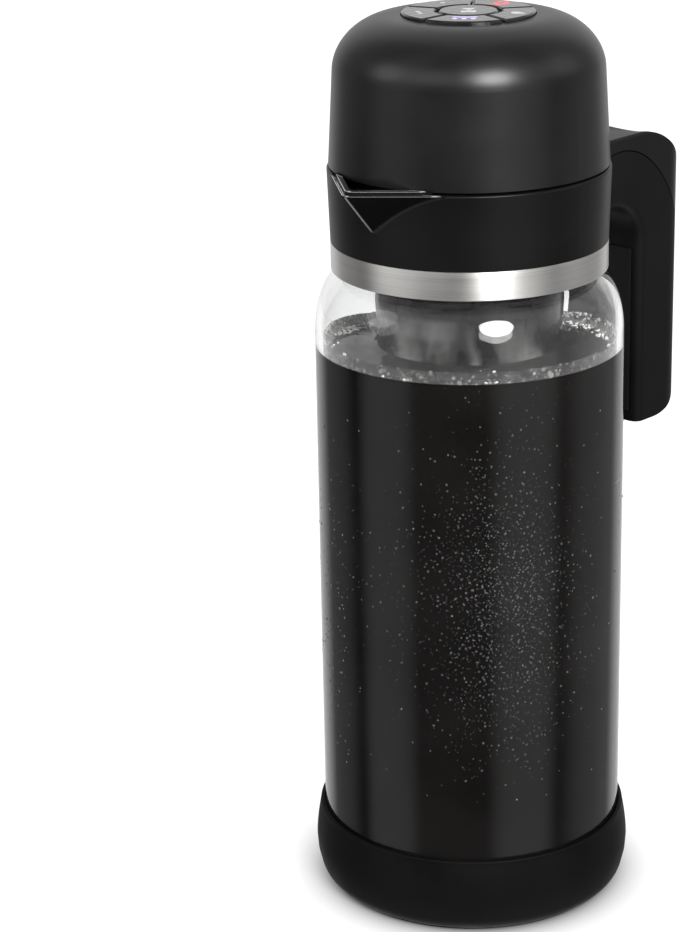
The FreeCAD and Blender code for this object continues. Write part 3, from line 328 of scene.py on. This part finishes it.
def let_light_in(tree, shader):
    """Lets lamps shine through clear walls."""
    shadow = add_node(tree, "LightPath").outputs["Is Shadow Ray"]
    clear = add_node(tree, "BsdfTransparent").outputs[0]
    mixed = add_node(tree, "MixShader", {0: shadow, 1: shader.outputs[0], 2: clear}).outputs[0]
    tree.links.new(mixed, tree.nodes["Material Output"].inputs["Surface"])


def grain(tree, scale, detail=2.0, stretch=None):
    """Noise on the piece's own coordinates, in cells for each metre."""
    place = object_place(tree)
    if stretch:
        place = add_node(tree, "Mapping", {"Vector": place, "Scale": stretch}).outputs[0]
    return add_node(tree, "TexNoise", {"Vector": place, "Scale": scale, "Detail": detail}).outputs["Fac"]


def spread(tree, value, low, high):
    """Noise, which keeps near its middle, stretched to run from low to high."""
    return ramp(tree, value, 0.3, 0.7, low, high)


def tint(tree, value, dark, light):
    """Noise turned into the colours between two."""
    return mix_colours(tree, spread(tree, value, 0, 1), dark, light)


def bump(tree, value, depth, strength):
    """Relief from a value, with its depth in metres."""
    relief = {"Height": value, "Distance": depth, "Strength": strength}
    return add_node(tree, "Bump", relief).outputs["Normal"]


def shoulder(inset):
    """Quarter of an ellipse, from the straight side in to the neck."""
    width = body_radius - neck_radius
    rise = shoulder_rise - inset
    angles = [radians(90 * k / 14) for k in range(1, 15)]
    return [(neck_radius - inset + width * cos(angle), shoulder_z + rise * sin(angle)) for angle in angles]


glass, tree, shader = new_finish(
    "clear_glass", Base_Color=(0.925, 0.93, 0.928), Roughness=0.0, IOR=1.47, Transmission_Weight=1.0)
feed(shader, Normal=bump(tree, grain(tree, 22, 1), 0.0001, 0.1))
let_light_in(tree, shader)
carafe = lathe("carafe_glass", [
    (0, glass_foot), (body_radius, glass_foot, foot_round), (body_radius, shoulder_z), *shoulder(0),
    (neck_radius, bead_z), (bead_radius, bead_z), (bead_radius, rim_z, bead_round),
    (neck_radius - wall, rim_z, bead_round), *reversed(shoulder(wall)), (body_bore, shoulder_z),
    (body_bore, floor_top, foot_round - wall), (0, floor_top)])
fit(carafe, "carafe", "clear_glass", glass, "glass_carafe")


# ---------------------------------------------------------------- coffee
# The brew fills the body to the shoulder. It wets the glass, so no air lies between them,
# and its thin edge, which climbs the glass, lets light through.
coffee_level = 209.0
coffee_radius = 52.76               # a little into the glass
coffee_foot = 8.95
tube_radius = 32.5                  # where the coffee climbs the brew column's tube
brew, tree, shader = new_finish("brewed_coffee", Roughness=0.04, IOR=1.34, Specular_IOR_Level=0.2)
swirl = grain(tree, 70, 4)
feed(shader,
     Base_Color=tint(tree, swirl, (0.0015, 0.0014, 0.0013), (0.014, 0.0134, 0.0128)),
     Roughness=spread(tree, swirl, 0.01, 0.06),
     Normal=bump(tree, grain(tree, 60, 3), 0.0014, 0.35))
wetted, tree, shader = new_finish("coffee_at_glass", Roughness=0.4, Specular_IOR_Level=0.0)
feed(shader, Base_Color=tint(tree, grain(tree, 25), (0.004, 0.0036, 0.0034), (0.008, 0.0074, 0.0071)))
coffee = lathe("coffee", [
    (0, coffee_foot), (coffee_radius, coffee_foot, foot_round - wall), (coffee_radius, coffee_level),
    (tube_radius + 3.5, coffee_level), (tube_radius + 1.9, coffee_level + 0.25),
    (tube_radius + 0.4, coffee_level + 0.9), (tube_radius, coffee_level), (0, coffee_level)])
fit(coffee, "carafe", "clear_glass", brew)
coffee.data.materials.append(wetted)
for face in coffee.data.polygons:
    if face.center.z < (coffee_level - 0.1) * MM:
        face.material_index = 1

thin_brew, tree, shader = new_finish("coffee_edge", IOR=1.34, Transmission_Weight=0.85, Roughness=0.2)
veil = grain(tree, 260, 3)
feed(shader,
     Base_Color=tint(tree, veil, (0.012, 0.0115, 0.011), (0.22, 0.216, 0.212)),
     Roughness=spread(tree, veil, 0.08, 0.3),
     Normal=bump(tree, veil, 0.0006, 0.6))
let_light_in(tree, shader)
climb = 4.4                         # height of the wetted edge above the surface
edge = lathe("coffee_edge", [
    (coffee_radius - 0.1, coffee_level + 0.05), (coffee_radius - 0.1, coffee_level + climb),
    (coffee_radius - 0.35, coffee_level + climb - 0.2), (coffee_radius - 0.8, coffee_level + 1.4, 2.0),
    (coffee_radius - 3.2, coffee_level + 0.05)])
fit(edge, "carafe", "clear_glass", thin_brew)


# ---------------------------------------------------------------- froth
# Brewing leaves bubbles where the coffee meets the glass: a thin line near the front and
# a wider, patchy froth towards the back.
def bead_of(name, rise):
    """Low dome with a flat underside, one unit across: the drop or bubble that is scattered."""
    shape = bmesh.new()
    sides = 6
    rings = []
    for tilt in (0, 42):
        reach = 0.5 * cos(radians(tilt))
        high = rise * sin(radians(tilt))
        angles = [2 * pi * k / sides for k in range(sides)]
        rings.append([shape.verts.new((reach * cos(angle), reach * sin(angle), high)) for angle in angles])
    tip = shape.verts.new((0, 0, rise))
    shape.faces.new(reversed(rings[0]))
    for k in range(sides):
        ahead = (k + 1) % sides
        shape.faces.new((rings[0][k], rings[0][ahead], rings[1][ahead], rings[1][k]))
        shape.faces.new((rings[1][k], rings[1][ahead], tip))
    return finished(name, shape, 80)


def skin(name, rows, wetness):
    """Turned sheet through (radius, height) rows, with the wetness of each point as an attribute."""
    around = 180
    shape = bmesh.new()
    rings = []
    wet = []
    for radius, height in rows:
        ring = []
        for k in range(around):
            angle = 2 * pi * k / around
            ring.append(shape.verts.new(round_point(radius, angle, height)))
            wet.append(wetness((degrees(angle) - facing + 180) % 360 - 180, radius, height))
        rings.append(ring)
    for low, high in zip(rings, rings[1:]):
        for k in range(around):
            ahead = (k + 1) % around
            shape.faces.new((low[k], low[ahead], high[ahead], high[k]))
    made = finished(name, shape)
    made.data.attributes.new("wet", "FLOAT", "POINT").data.foreach_set("value", wet)
    return made


def scatter(name, host, bead, finish, density, smallest, largest, seed):
    """Joins copies of a bead, set on a host where it is wet. Density is for each square metre."""
    tree = bpy.data.node_groups.new(name, "GeometryNodeTree")
    face = tree.interface
    face.new_socket("Host", in_out="INPUT", socket_type="NodeSocketGeometry")
    values = {
        "Bead": ("Object", bead), "Finish": ("Material", finish), "Density": ("Float", density),
        "Smallest": ("Float", smallest), "Largest": ("Float", largest), "Seed": ("Int", seed)}
    names = {}
    for label, (kind, value) in values.items():
        names[label] = face.new_socket(label, in_out="INPUT", socket_type="NodeSocket" + kind).identifier
    face.new_socket("Beads", in_out="OUTPUT", socket_type="NodeSocketGeometry")
    given = tree.nodes.new("NodeGroupInput").outputs
    wet = add_node(tree, "GeometryNodeInputNamedAttribute", {"Name": "wet"}, data_type="FLOAT")
    dense = maths(tree, "MULTIPLY", wet.outputs["Attribute"], given["Density"])
    points = add_node(tree, "GeometryNodeDistributePointsOnFaces", {
        "Mesh": given["Host"], "Density": dense, "Seed": given["Seed"]}).outputs
    chance = add_node(tree, "FunctionNodeRandomValue", {"Seed": given["Seed"]}, data_type="FLOAT").outputs[1]
    rare = maths(tree, "POWER", chance, 3.0)
    size = ramp(tree, rare, 0.0, 1.0, given["Smallest"], given["Largest"])
    copies = add_node(tree, "GeometryNodeInstanceOnPoints", {
        "Points": points["Points"], "Rotation": points["Rotation"], "Scale": size,
        "Instance": add_node(tree, "GeometryNodeObjectInfo", {"Object": given["Bead"]}).outputs["Geometry"]})
    real = add_node(tree, "GeometryNodeRealizeInstances", {"Geometry": copies.outputs["Instances"]})
    dressed = add_node(tree, "GeometryNodeSetMaterial", {
        "Geometry": real.outputs["Geometry"], "Material": given["Finish"]})
    tree.links.new(dressed.outputs["Geometry"], tree.nodes.new("NodeGroupOutput").inputs["Beads"])
    modifier = host.modifiers.new(name, "NODES")
    modifier.node_group = tree
    for label, (kind, value) in values.items():
        modifier[names[label]] = value
    bpy.context.view_layer.update()
    grown = host.evaluated_get(bpy.context.evaluated_depsgraph_get())
    made = bpy.data.objects.new(name, bpy.data.meshes.new_from_object(grown))
    bpy.context.collection.objects.link(made)
    bpy.data.objects.remove(host)
    bpy.data.objects.remove(bead)
    return made


def patchy(turn, height, cells, threshold):
    """Smooth noise round the body, from 0 to 1, with bare patches below a threshold."""
    angle = radians(turn)
    level = noise.noise(Vector((cos(angle), sin(angle), height / 50)) * cells) * 0.5 + 0.5
    return max(0.0, (level - threshold) / (1 - threshold))


def froth_wetness(turn, radius, height):
    """Froth reaches further in, and stands thicker, on the sides turned away from the camera."""
    aside = min(1.0, max(0.0, (abs(turn) - 70) / 40))
    reach = 3.0 + 5.5 * aside
    inward = max(0.0, coffee_radius - radius) / reach
    return max(0.0, 1 - inward) * (0.3 + 0.7 * aside) * (0.2 + 2 * patchy(turn, height, 9.0, 0.30))


bubble, tree, shader = new_finish("froth_bubbles", IOR=1.3, Transmission_Weight=0.4, Roughness=0.12)
feed(shader, Base_Color=tint(tree, grain(tree, 300), (0.60, 0.59, 0.58), (0.93, 0.92, 0.91)))
let_light_in(tree, shader)
waterline = [(coffee_radius - 0.3, coffee_level + climb - k * 0.8) for k in range(6)]
waterline += [(coffee_radius - 1.5 - k, coffee_level + 0.1) for k in range(8)]
froth = scatter(
    "froth", skin("waterline", waterline, froth_wetness), bead_of("bubble", 0.45), bubble,
    density=1400000, smallest=0.0005, largest=0.0020, seed=3)
fit(froth, "carafe", "clear_glass", bubble)


# ---------------------------------------------------------------- condensation
# The cold glass is dewed. The drops stand thickest right of the middle, and in a second
# patch near the left side.
def hump(value, middle, width):
    """Bell curve that is 1 in its middle."""
    return exp(-((value - middle) / width) ** 2)


def dew_wetness(turn, radius, height):
    main = hump(turn, 12, 18) * hump(height, 129, 42)
    wide = 0.2 * hump(turn, 8, 38) * hump(height, 128, 44)
    left = 0.2 * hump(turn, -62, 12) * hump(height, 118, 42)
    return (main + wide + left) * (0.25 + patchy(turn, height, 7.0, 0.2))


# Painted sheen: the drops are clear water with a pale grey diffuse share, so they show light grey.
dew_with_painted_sheen, tree, shader = new_finish("dew", IOR=1.33, Transmission_Weight=0.75, Base_Color=(0.2, 0.2, 0.2))
feed(shader, Roughness=spread(tree, grain(tree, 400), 0.0, 0.05))
let_light_in(tree, shader)
dewed = [(body_radius + 0.02, 50 + 3 * k) for k in range(54)]
dew = scatter(
    "dew", skin("dewed_glass", dewed, dew_wetness), bead_of("drop", 0.3), dew_with_painted_sheen,
    density=1200000, smallest=0.0003, largest=0.00092, seed=11)
fit(dew, "carafe", "clear_glass", dew_with_painted_sheen)


# ---------------------------------------------------------------- fill mark
# A plain line, printed on the glass near the handle, with two short ticks below it.
def printed(name, marks):
    """Thin curved strips on the glass. Each mark is (from angle, to angle, low, high)."""
    under, over = body_radius + 0.01, body_radius + 0.06
    shape = bmesh.new()
    for start, end, low, high in marks:
        loops = []
        for k in range(9):
            angle = radians(start + (end - start) * k / 8)
            corners = ((under, low), (over, low), (over, high), (under, high))
            loops.append([shape.verts.new(round_point(reach, angle, height)) for reach, height in corners])
        for before, after in zip(loops, loops[1:]):
            for k in range(4):
                shape.faces.new((before[k], after[k], after[(k + 1) % 4], before[(k + 1) % 4]))
        shape.faces.new(loops[0])
        shape.faces.new(reversed(loops[-1]))
    bmesh.ops.recalc_face_normals(shape, faces=shape.faces)
    return finished(name, shape)


ink, tree, shader = new_finish("mark_ink", Roughness=0.5)
feed(shader, Base_Color=tint(tree, grain(tree, 900, 3), (0.16, 0.16, 0.16), (0.34, 0.34, 0.34)))
fill_mark = printed("fill_mark", [(20, 32, 161.0, 161.5), (24, 28, 157.5, 157.9), (24, 28, 154.0, 154.4)])
fit(fill_mark, "carafe", "clear_glass", ink)


# ---------------------------------------------------------------- base boot
# Soft silicone cup that stretches over the bottom of the glass. It stops at a thin rim.
rubber, tree, shader = new_finish("boot_silicone", Roughness=0.6, Specular_IOR_Level=0.1)
cloud = grain(tree, 45, 4)
feed(shader,
     Base_Color=tint(tree, cloud, (0.002, 0.002, 0.0022), (0.004, 0.004, 0.0042)),
     Roughness=spread(tree, cloud, 0.5, 0.68),
     Normal=bump(tree, grain(tree, 2200), 0.00003, 0.5))
boot_radius = 58.9
boot_bore = body_radius + 0.1
boot_rim_z = 29.3
sole_radius = 50.5
sole_round = 7.5
bulge = [(boot_radius - 1.7 * (k / 9) ** 1.6, 15 + 13.2 * k / 9) for k in range(10)]
turns = [radians(9 * k) for k in range(1, 10)]
under = [(sole_radius + 7.2 * sin(turn), sole_round - sole_round * cos(turn)) for turn in turns]
boot = lathe("boot", [
    (0, 0), (sole_radius, 0), *under, (58.55, 10.2), *bulge, (57.2, boot_rim_z, 0.7),
    (boot_bore, boot_rim_z, 0.4), (boot_bore, glass_foot, foot_round + 0.1), (0, glass_foot)])
fit(boot, "carafe", "black_silicone", rubber, "base_boot")


# ---------------------------------------------------------------- neck band
# Strip of stainless steel rolled round the neck, brushed along its length, with a lip
# turned in below. It hides the clamp.
steel, tree, shader = new_finish(
    "brushed_steel", Metallic=1.0, Roughness=0.42, Anisotropic=0.85, Anisotropic_Rotation=0.25)
hair = grain(tree, 1.0, 4, (14, 14, 4200))
feed(shader,
     Base_Color=tint(tree, hair, (0.66, 0.645, 0.625), (0.80, 0.785, 0.765)),
     Roughness=spread(tree, hair, 0.38, 0.47),
     Normal=bump(tree, hair, 0.00001, 0.3),
     Tangent=add_node(tree, "Tangent", direction_type="RADIAL", axis="Z").outputs[0])
band_low, band_high = (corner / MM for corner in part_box("steel_band"))
sheet_steel = 0.6
turned_in = band_high.x - 2.3
band = lathe("neck_band", [
    (turned_in, band_low.z), (band_high.x, band_low.z, 0.35), (band_high.x, band_high.z, 0.25),
    (band_high.x - sheet_steel, band_high.z), (band_high.x - sheet_steel, band_low.z + sheet_steel),
    (turned_in, band_low.z + sheet_steel)])
fit(band, "carafe", "brushed_steel", steel, "steel_band")


# ---------------------------------------------------------------- collar and spout
# The collar is satin black plastic from a spark-eroded mould, screwed to the clamp through
# its floor. The nose of the spout is a coarser matte, with a painted highlight along its keel.
# The top edge of its lip is smoother and painted near white as metal, a painted glint, on the
# collar and on the liner that is pushed in.
def moulded(name, dark, light, rough, cells=2600, depth=0.00002, **values):
    """Moulded plastic: cloudy colour and gloss with a fine spark texture."""
    finish, tree, shader = new_finish(name, **values)
    broad = grain(tree, 30, 2)
    feed(shader,
         Base_Color=tint(tree, broad, dark, light),
         Roughness=spread(tree, broad, rough - 0.03, rough + 0.03),
         Normal=bump(tree, grain(tree, cells, 3), depth, 0.5))
    return finish


def dress(finish, *nodes):
    """CAD pieces whose shape is right keep it and get their finish."""
    for node in nodes:
        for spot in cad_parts[node].material_slots:
            spot.material = finish


def lip_masks(tree, node):
    """How far a point belongs to the nose of the spout, to the painted glint on the top edge of its lip, and
    to the painted highlight along its keel.
    """
    nose_starts, nose_full = 0.0504, 0.0511
    land_starts, land_full = 0.00045, 0.0003
    keel_full, keel_ends = 0.0003, 0.0009
    place = object_place(tree)
    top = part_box(node)[1].z
    from_axis = vector_length(tree, level_part(tree, place))
    nose = ramp(tree, from_axis, nose_starts, nose_full)
    level = ramp(tree, axes(tree, place)["Z"], top - land_starts, top - land_full)
    painted_lip_glint = maths(tree, "MULTIPLY", nose, level)
    aside = maths(tree, "ABSOLUTE", axes(tree, place)["X"])
    painted_keel_highlight = maths(tree, "MULTIPLY", nose, ramp(tree, aside, keel_full, keel_ends, 1, 0))
    return nose, painted_lip_glint, painted_keel_highlight


def blend_in(shader, socket, mask, value):
    """Blends what feeds a socket with a value or colour where the mask is set."""
    before = shader.inputs[socket].links[0].from_socket
    mix = mix_colours if isinstance(value, tuple) else mix_values
    shader.id_data.links.new(mix(shader.id_data, mask, before, value), shader.inputs[socket])


polished = 0.15
painted_glint_white = (0.95, 0.95, 0.95)
collar_black = moulded(
    "collar_black", (0.003, 0.003, 0.0032), (0.005, 0.0049, 0.0048), 0.38, Specular_IOR_Level=0.2)
shader = collar_black.node_tree.nodes["Principled BSDF"]
nose, painted_lip_glint, painted_keel_highlight = lip_masks(collar_black.node_tree, "spout_collar")
feed(shader, Metallic=nose)
# The keel's grey is a painted highlight and the lip edge's near white a painted glint.
for mask, rough, colour in (
    (nose, 0.95, (0.009, 0.009, 0.009)), (painted_keel_highlight, 0.4, (0.22, 0.22, 0.22)), (painted_lip_glint, polished, painted_glint_white)):
    blend_in(shader, "Roughness", mask, rough)
    blend_in(shader, "Base Color", mask, colour)
dress(collar_black, "spout_collar")

lip_black = moulded(
    "lip_black", (0.002, 0.002, 0.002), (0.004, 0.004, 0.004), 0.5, 900, 0.000004, Specular_IOR_Level=0.1)
shader = lip_black.node_tree.nodes["Principled BSDF"]
nose, painted_lip_glint, painted_keel_highlight = lip_masks(lip_black.node_tree, "pour_liner")
# Painted glint: the liner's lip edge is painted near white as metal.
feed(shader, Metallic=painted_lip_glint)
blend_in(shader, "Roughness", painted_lip_glint, polished)
blend_in(shader, "Base Color", painted_lip_glint, painted_glint_white)
dress(lip_black, "pour_liner")


# ---------------------------------------------------------------- handle
# A stiff frame hooks over the collar and runs down inside the grip. The grip slides on from
# below, and a soft pad covers its two screws.
grip_black = moulded(
    "grip_black", (0.0035, 0.0035, 0.0038), (0.0055, 0.0054, 0.0053), 0.48, Specular_IOR_Level=0.13)
dress(grip_black, "handle_grip")
frame_black = moulded(
    "frame_black", (0.003, 0.003, 0.0032), (0.005, 0.0049, 0.0048), 0.36, Specular_IOR_Level=0.26)
dress(frame_black, "handle_frame")
pad_black = moulded(
    "pad_black", (0.005, 0.005, 0.0053), (0.0075, 0.0075, 0.0078), 0.66, 1500, 0.00003,
    Specular_IOR_Level=0.25)
dress(pad_black, "handle_pad")


# ---------------------------------------------------------------- brew column
# Smoky plastic tube, cage and pump foot, wet with coffee. The flow leaves upright streaks
# on the tube, lightened partly as painted reflection, and its top is painted darker as painted
# shade of the neck.
wet_column, tree, shader = new_finish("wet_column", IOR=1.5, Specular_IOR_Level=0.25)
streaks = grain(tree, 1.0, 3, (58, 58, 20))
# Painted shade: the tube's colour darkens to a tenth towards its top, under the neck.
shade = ramp(tree, axes(tree, object_place(tree))["Z"], 0.207, 0.227, 1.0, 0.1)
# The light streaks are partly coffee film and partly painted reflection.
film_and_painted_reflection = ramp(tree, streaks, 0.45, 0.63)
colour = mix_colours(tree, film_and_painted_reflection, (0.002, 0.002, 0.002), (0.17, 0.168, 0.165))
shaded = add_node(tree, "VectorMath", {0: colour, "Scale": shade}, operation="SCALE").outputs["Vector"]
feed(shader,
     Base_Color=shaded,
     Roughness=spread(tree, grain(tree, 90, 3), 0.08, 0.4),
     Normal=bump(tree, streaks, 0.0012, 0.5))
dress(wet_column, "column_tube")
smoky = moulded("smoky_plastic", (0.018, 0.017, 0.018), (0.03, 0.029, 0.03), 0.25, 900, 0.00001)
dress(smoky, "basket_frame", "pump_housing", "intake_grille", "column_lid", "uptake_tube")

weave, tree, shader = new_finish("steel_weave", Metallic=1.0, Roughness=0.35)
place = axes(tree, object_place(tree))
angle = maths(tree, "ARCTAN2", place["Y"], place["X"])
wires_round = 360.0
wire_pitch = 0.00055
threads = []
for along, count in ((angle, wires_round), (place["Z"], 2 * pi / wire_pitch)):
    wave = maths(tree, "SINE", maths(tree, "MULTIPLY", along, count))
    threads.append(maths(tree, "MAXIMUM", wave, 0.0))
woven = maths(tree, "MAXIMUM", *threads)
feed(shader,
     Base_Color=mix_colours(tree, woven, (0.05, 0.045, 0.04), (0.58, 0.57, 0.56)),
     Normal=bump(tree, woven, 0.0001, 0.6))
dress(weave, "mesh_filter")


# ---------------------------------------------------------------- turning parts and fixings
# Ground steel shaft, drawn steel brackets and motor can, zinc-plated screws, and bearings
# and coupler in natural bearing plastic.
def metal(name, dark, light, rough, stretch):
    """Bare metal with fine lines from how it was worked."""
    finish, tree, shader = new_finish(name, Metallic=1.0)
    lines = grain(tree, 1.0, 4, stretch)
    feed(shader,
         Base_Color=tint(tree, lines, dark, light),
         Roughness=spread(tree, lines, rough - 0.06, rough + 0.06),
         Normal=bump(tree, lines, 0.000008, 0.3))
    return finish


ground_steel = metal("ground_steel", (0.46, 0.46, 0.47), (0.60, 0.60, 0.61), 0.22, (300, 300, 3000))
dress(ground_steel, "drive_shaft", "motor_rotor")
drawn_steel = metal("sheet_steel", (0.46, 0.46, 0.46), (0.58, 0.58, 0.58), 0.32, (2200, 120, 2200))
dress(drawn_steel, "motor_bracket", "charge_port")
nickel = metal("nickel_plate", (0.42, 0.41, 0.40), (0.52, 0.51, 0.50), 0.24, (90, 90, 1400))
dress(nickel, "motor_can")
zinc = metal("zinc_plate", (0.50, 0.50, 0.53), (0.66, 0.66, 0.69), 0.3, (900, 900, 900))
dress(zinc, "clamp_screws", "grip_screws", "handle_screws", "head_screws", "motor_screws", "board_screws")
bearing = moulded("bearing_plastic", (0.60, 0.58, 0.52), (0.71, 0.69, 0.63), 0.42)
dress(bearing, "upper_bush", "lower_bush", "impeller", "drive_coupler")


# ---------------------------------------------------------------- seals and inner mouldings
# Soft silicone seals, grey inside and black round the head's spigot, and unpainted dark
# plastic where nobody looks.
seal = moulded(
    "seal_silicone", (0.34, 0.34, 0.345), (0.44, 0.44, 0.445), 0.5, 1200, 0.00002, Subsurface_Weight=0.15)
dress(seal, "neck_gasket", "shaft_seal")
dress(rubber, "head_seal")
inner_black = moulded(
    "inner_plastic", (0.045, 0.045, 0.047), (0.065, 0.065, 0.067), 0.5, 1500, 0.00003)
dress(inner_black, "neck_clamp", "head_base", "battery_cradle", "key_guide", "key_switches")


# ---------------------------------------------------------------- electronics
# Green boards with fine tracks, two cells in shrink wrap, clear lamps and short red leads.
board, tree, shader = new_finish("board_green", Roughness=0.35)
cells = add_node(
    tree, "TexVoronoi", {"Vector": object_place(tree), "Scale": 420.0}, feature="DISTANCE_TO_EDGE")
track = ramp(tree, cells.outputs["Distance"], 0.05, 0.08)
feed(shader,
     Base_Color=mix_colours(tree, track, (0.05, 0.24, 0.10), (0.02, 0.12, 0.05)),
     Normal=bump(tree, track, 0.00004, 0.6))
dress(board, "control_board", "port_board")
wrap = moulded("cell_wrap", (0.07, 0.17, 0.36), (0.11, 0.23, 0.44), 0.24, 300, 0.00004)
dress(wrap, "battery_cells")
lamp_clear = moulded(
    "lamp_clear", (0.80, 0.78, 0.72), (0.9, 0.88, 0.83), 0.15, 800, 0.00001, Transmission_Weight=0.6)
dress(lamp_clear, "indicator_leds")
lead = moulded("lead_red", (0.38, 0.02, 0.02), (0.5, 0.035, 0.03), 0.3, 1500, 0.00001)
dress(lead, "wiring")


# ---------------------------------------------------------------- power head
# Satin domed shell that is screwed to its base from below. The charging socket at the back
# has a soft cover, flush with the shell.
satin = moulded(
    "satin_black", (0.005, 0.005, 0.0053), (0.008, 0.0078, 0.0077), 0.34, Specular_IOR_Level=0.42)
dress(satin, "head_shell")
dress(pad_black, "port_cover")


# ---------------------------------------------------------------- keys
# Five curved keys round a button, all glossy, with plain signs let into their tops: start,
# power, one to three dots for the strength, and a drop for rinsing. Two of them are lit.
key_black = moulded(
    "key_faces", (0.012, 0.012, 0.013), (0.03, 0.03, 0.031), 0.12, 420, 0.0004,
    Specular_IOR_Level=0.5, Coat_Weight=0.3, Coat_Roughness=0.06)
dress(key_black, "start_key", "power_key", "light_key", "medium_key", "bold_key", "rinse_key")


def arc(radius, start, end, x=0.0, y=0.0):
    """Points along an arc, between two angles in degrees."""
    steps = 16
    angles = [radians(start + (end - start) * k / steps) for k in range(steps + 1)]
    return [(x + radius * cos(angle), y + radius * sin(angle)) for angle in angles]


def stroke(radius, width, start, end, x=0.0, y=0.0):
    """Outline of an arc with a width."""
    return arc(radius + width / 2, start, end, x, y) + arc(radius - width / 2, end, start, x, y)


def bar(x, y, length, width):
    return [(x, y - width / 2), (x + length, y - width / 2), (x + length, y + width / 2), (x, y + width / 2)]


def sign(key, label, angle, finish, shapes):
    """Flat shapes let into a key's top. Their first axis points away from the middle of the head."""
    sunk, proud = 0.1 * MM, 0.05 * MM
    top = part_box(key)[1].z
    turn = Matrix.Rotation(radians(angle), 3, "Z")
    shape = bmesh.new()
    for points in shapes:
        low = [shape.verts.new(turn @ Vector((x * MM, y * MM, top - sunk))) for x, y in points]
        high = [shape.verts.new(turn @ Vector((x * MM, y * MM, top + proud))) for x, y in points]
        shape.faces.new(reversed(low))
        shape.faces.new(high)
        for k in range(len(points)):
            ahead = (k + 1) % len(points)
            shape.faces.new((low[k], low[ahead], high[ahead], high[k]))
    bmesh.ops.recalc_face_normals(shape, faces=shape.faces)
    fit(finished(key + "_" + label, shape), key, "key_plastic", finish)


def glowing(name, colour, strength):
    """Plastic that is lit from below."""
    half_lit = tuple(0.5 * part for part in colour)
    return moulded(
        name, half_lit, colour, 0.25, 1500, 0.000004, Emission_Color=colour, Emission_Strength=strength)


pale = moulded("sign_pale", (0.70, 0.70, 0.71), (0.80, 0.80, 0.81), 0.3, 1500, 0.000004)
lit_red = glowing("sign_red", (1.0, 0.06, 0.08), 1.2)
lit_lilac = glowing("sign_lilac", (0.62, 0.45, 1.0), 1.0)
soft_lilac = glowing("glow_lilac", (0.55, 0.47, 0.85), 0.5)
soft_red = glowing("glow_red", (0.80, 0.16, 0.18), 0.4)
ring_middle = 17.6                  # radius on which the signs of the curved keys lie
curved_keys = ("rinse_key", "power_key", "light_key", "medium_key", "bold_key")
turned_to = {key: 18 + 72 * k for k, key in enumerate(curved_keys)}
sign("start_key", "sign", facing, pale, [
    [(-3.4, 2.6), (-3.4, -2.6), (0.9, 0.0)], bar(1.7, 0.0, 1.0, 5.2), bar(3.4, 0.0, 1.0, 5.2)])
sign("power_key", "sign", turned_to["power_key"], lit_red, [
    stroke(2.3, 0.7, 35, 325, ring_middle), bar(ring_middle + 0.6, 0.0, 2.8, 0.7)])
sign("power_key", "glow", turned_to["power_key"], soft_red, [stroke(14.25, 1.1, -10, 10)])
for count, key, finish in ((1, "light_key", pale), (2, "medium_key", pale), (3, "bold_key", lit_lilac)):
    dots = [arc(0.9, 0, 337.5, ring_middle, 3.2 * (k - (count - 1) / 2)) for k in range(count)]
    sign(key, "sign", turned_to[key], finish, dots)
sign("bold_key", "glow", turned_to["bold_key"], soft_lilac, [stroke(14.6, 1.8, -17, 17)])
sign("rinse_key", "sign", turned_to["rinse_key"], pale, [
    arc(1.8, 40, 320, ring_middle) + [(ring_middle + 3.4, 0.0)]])
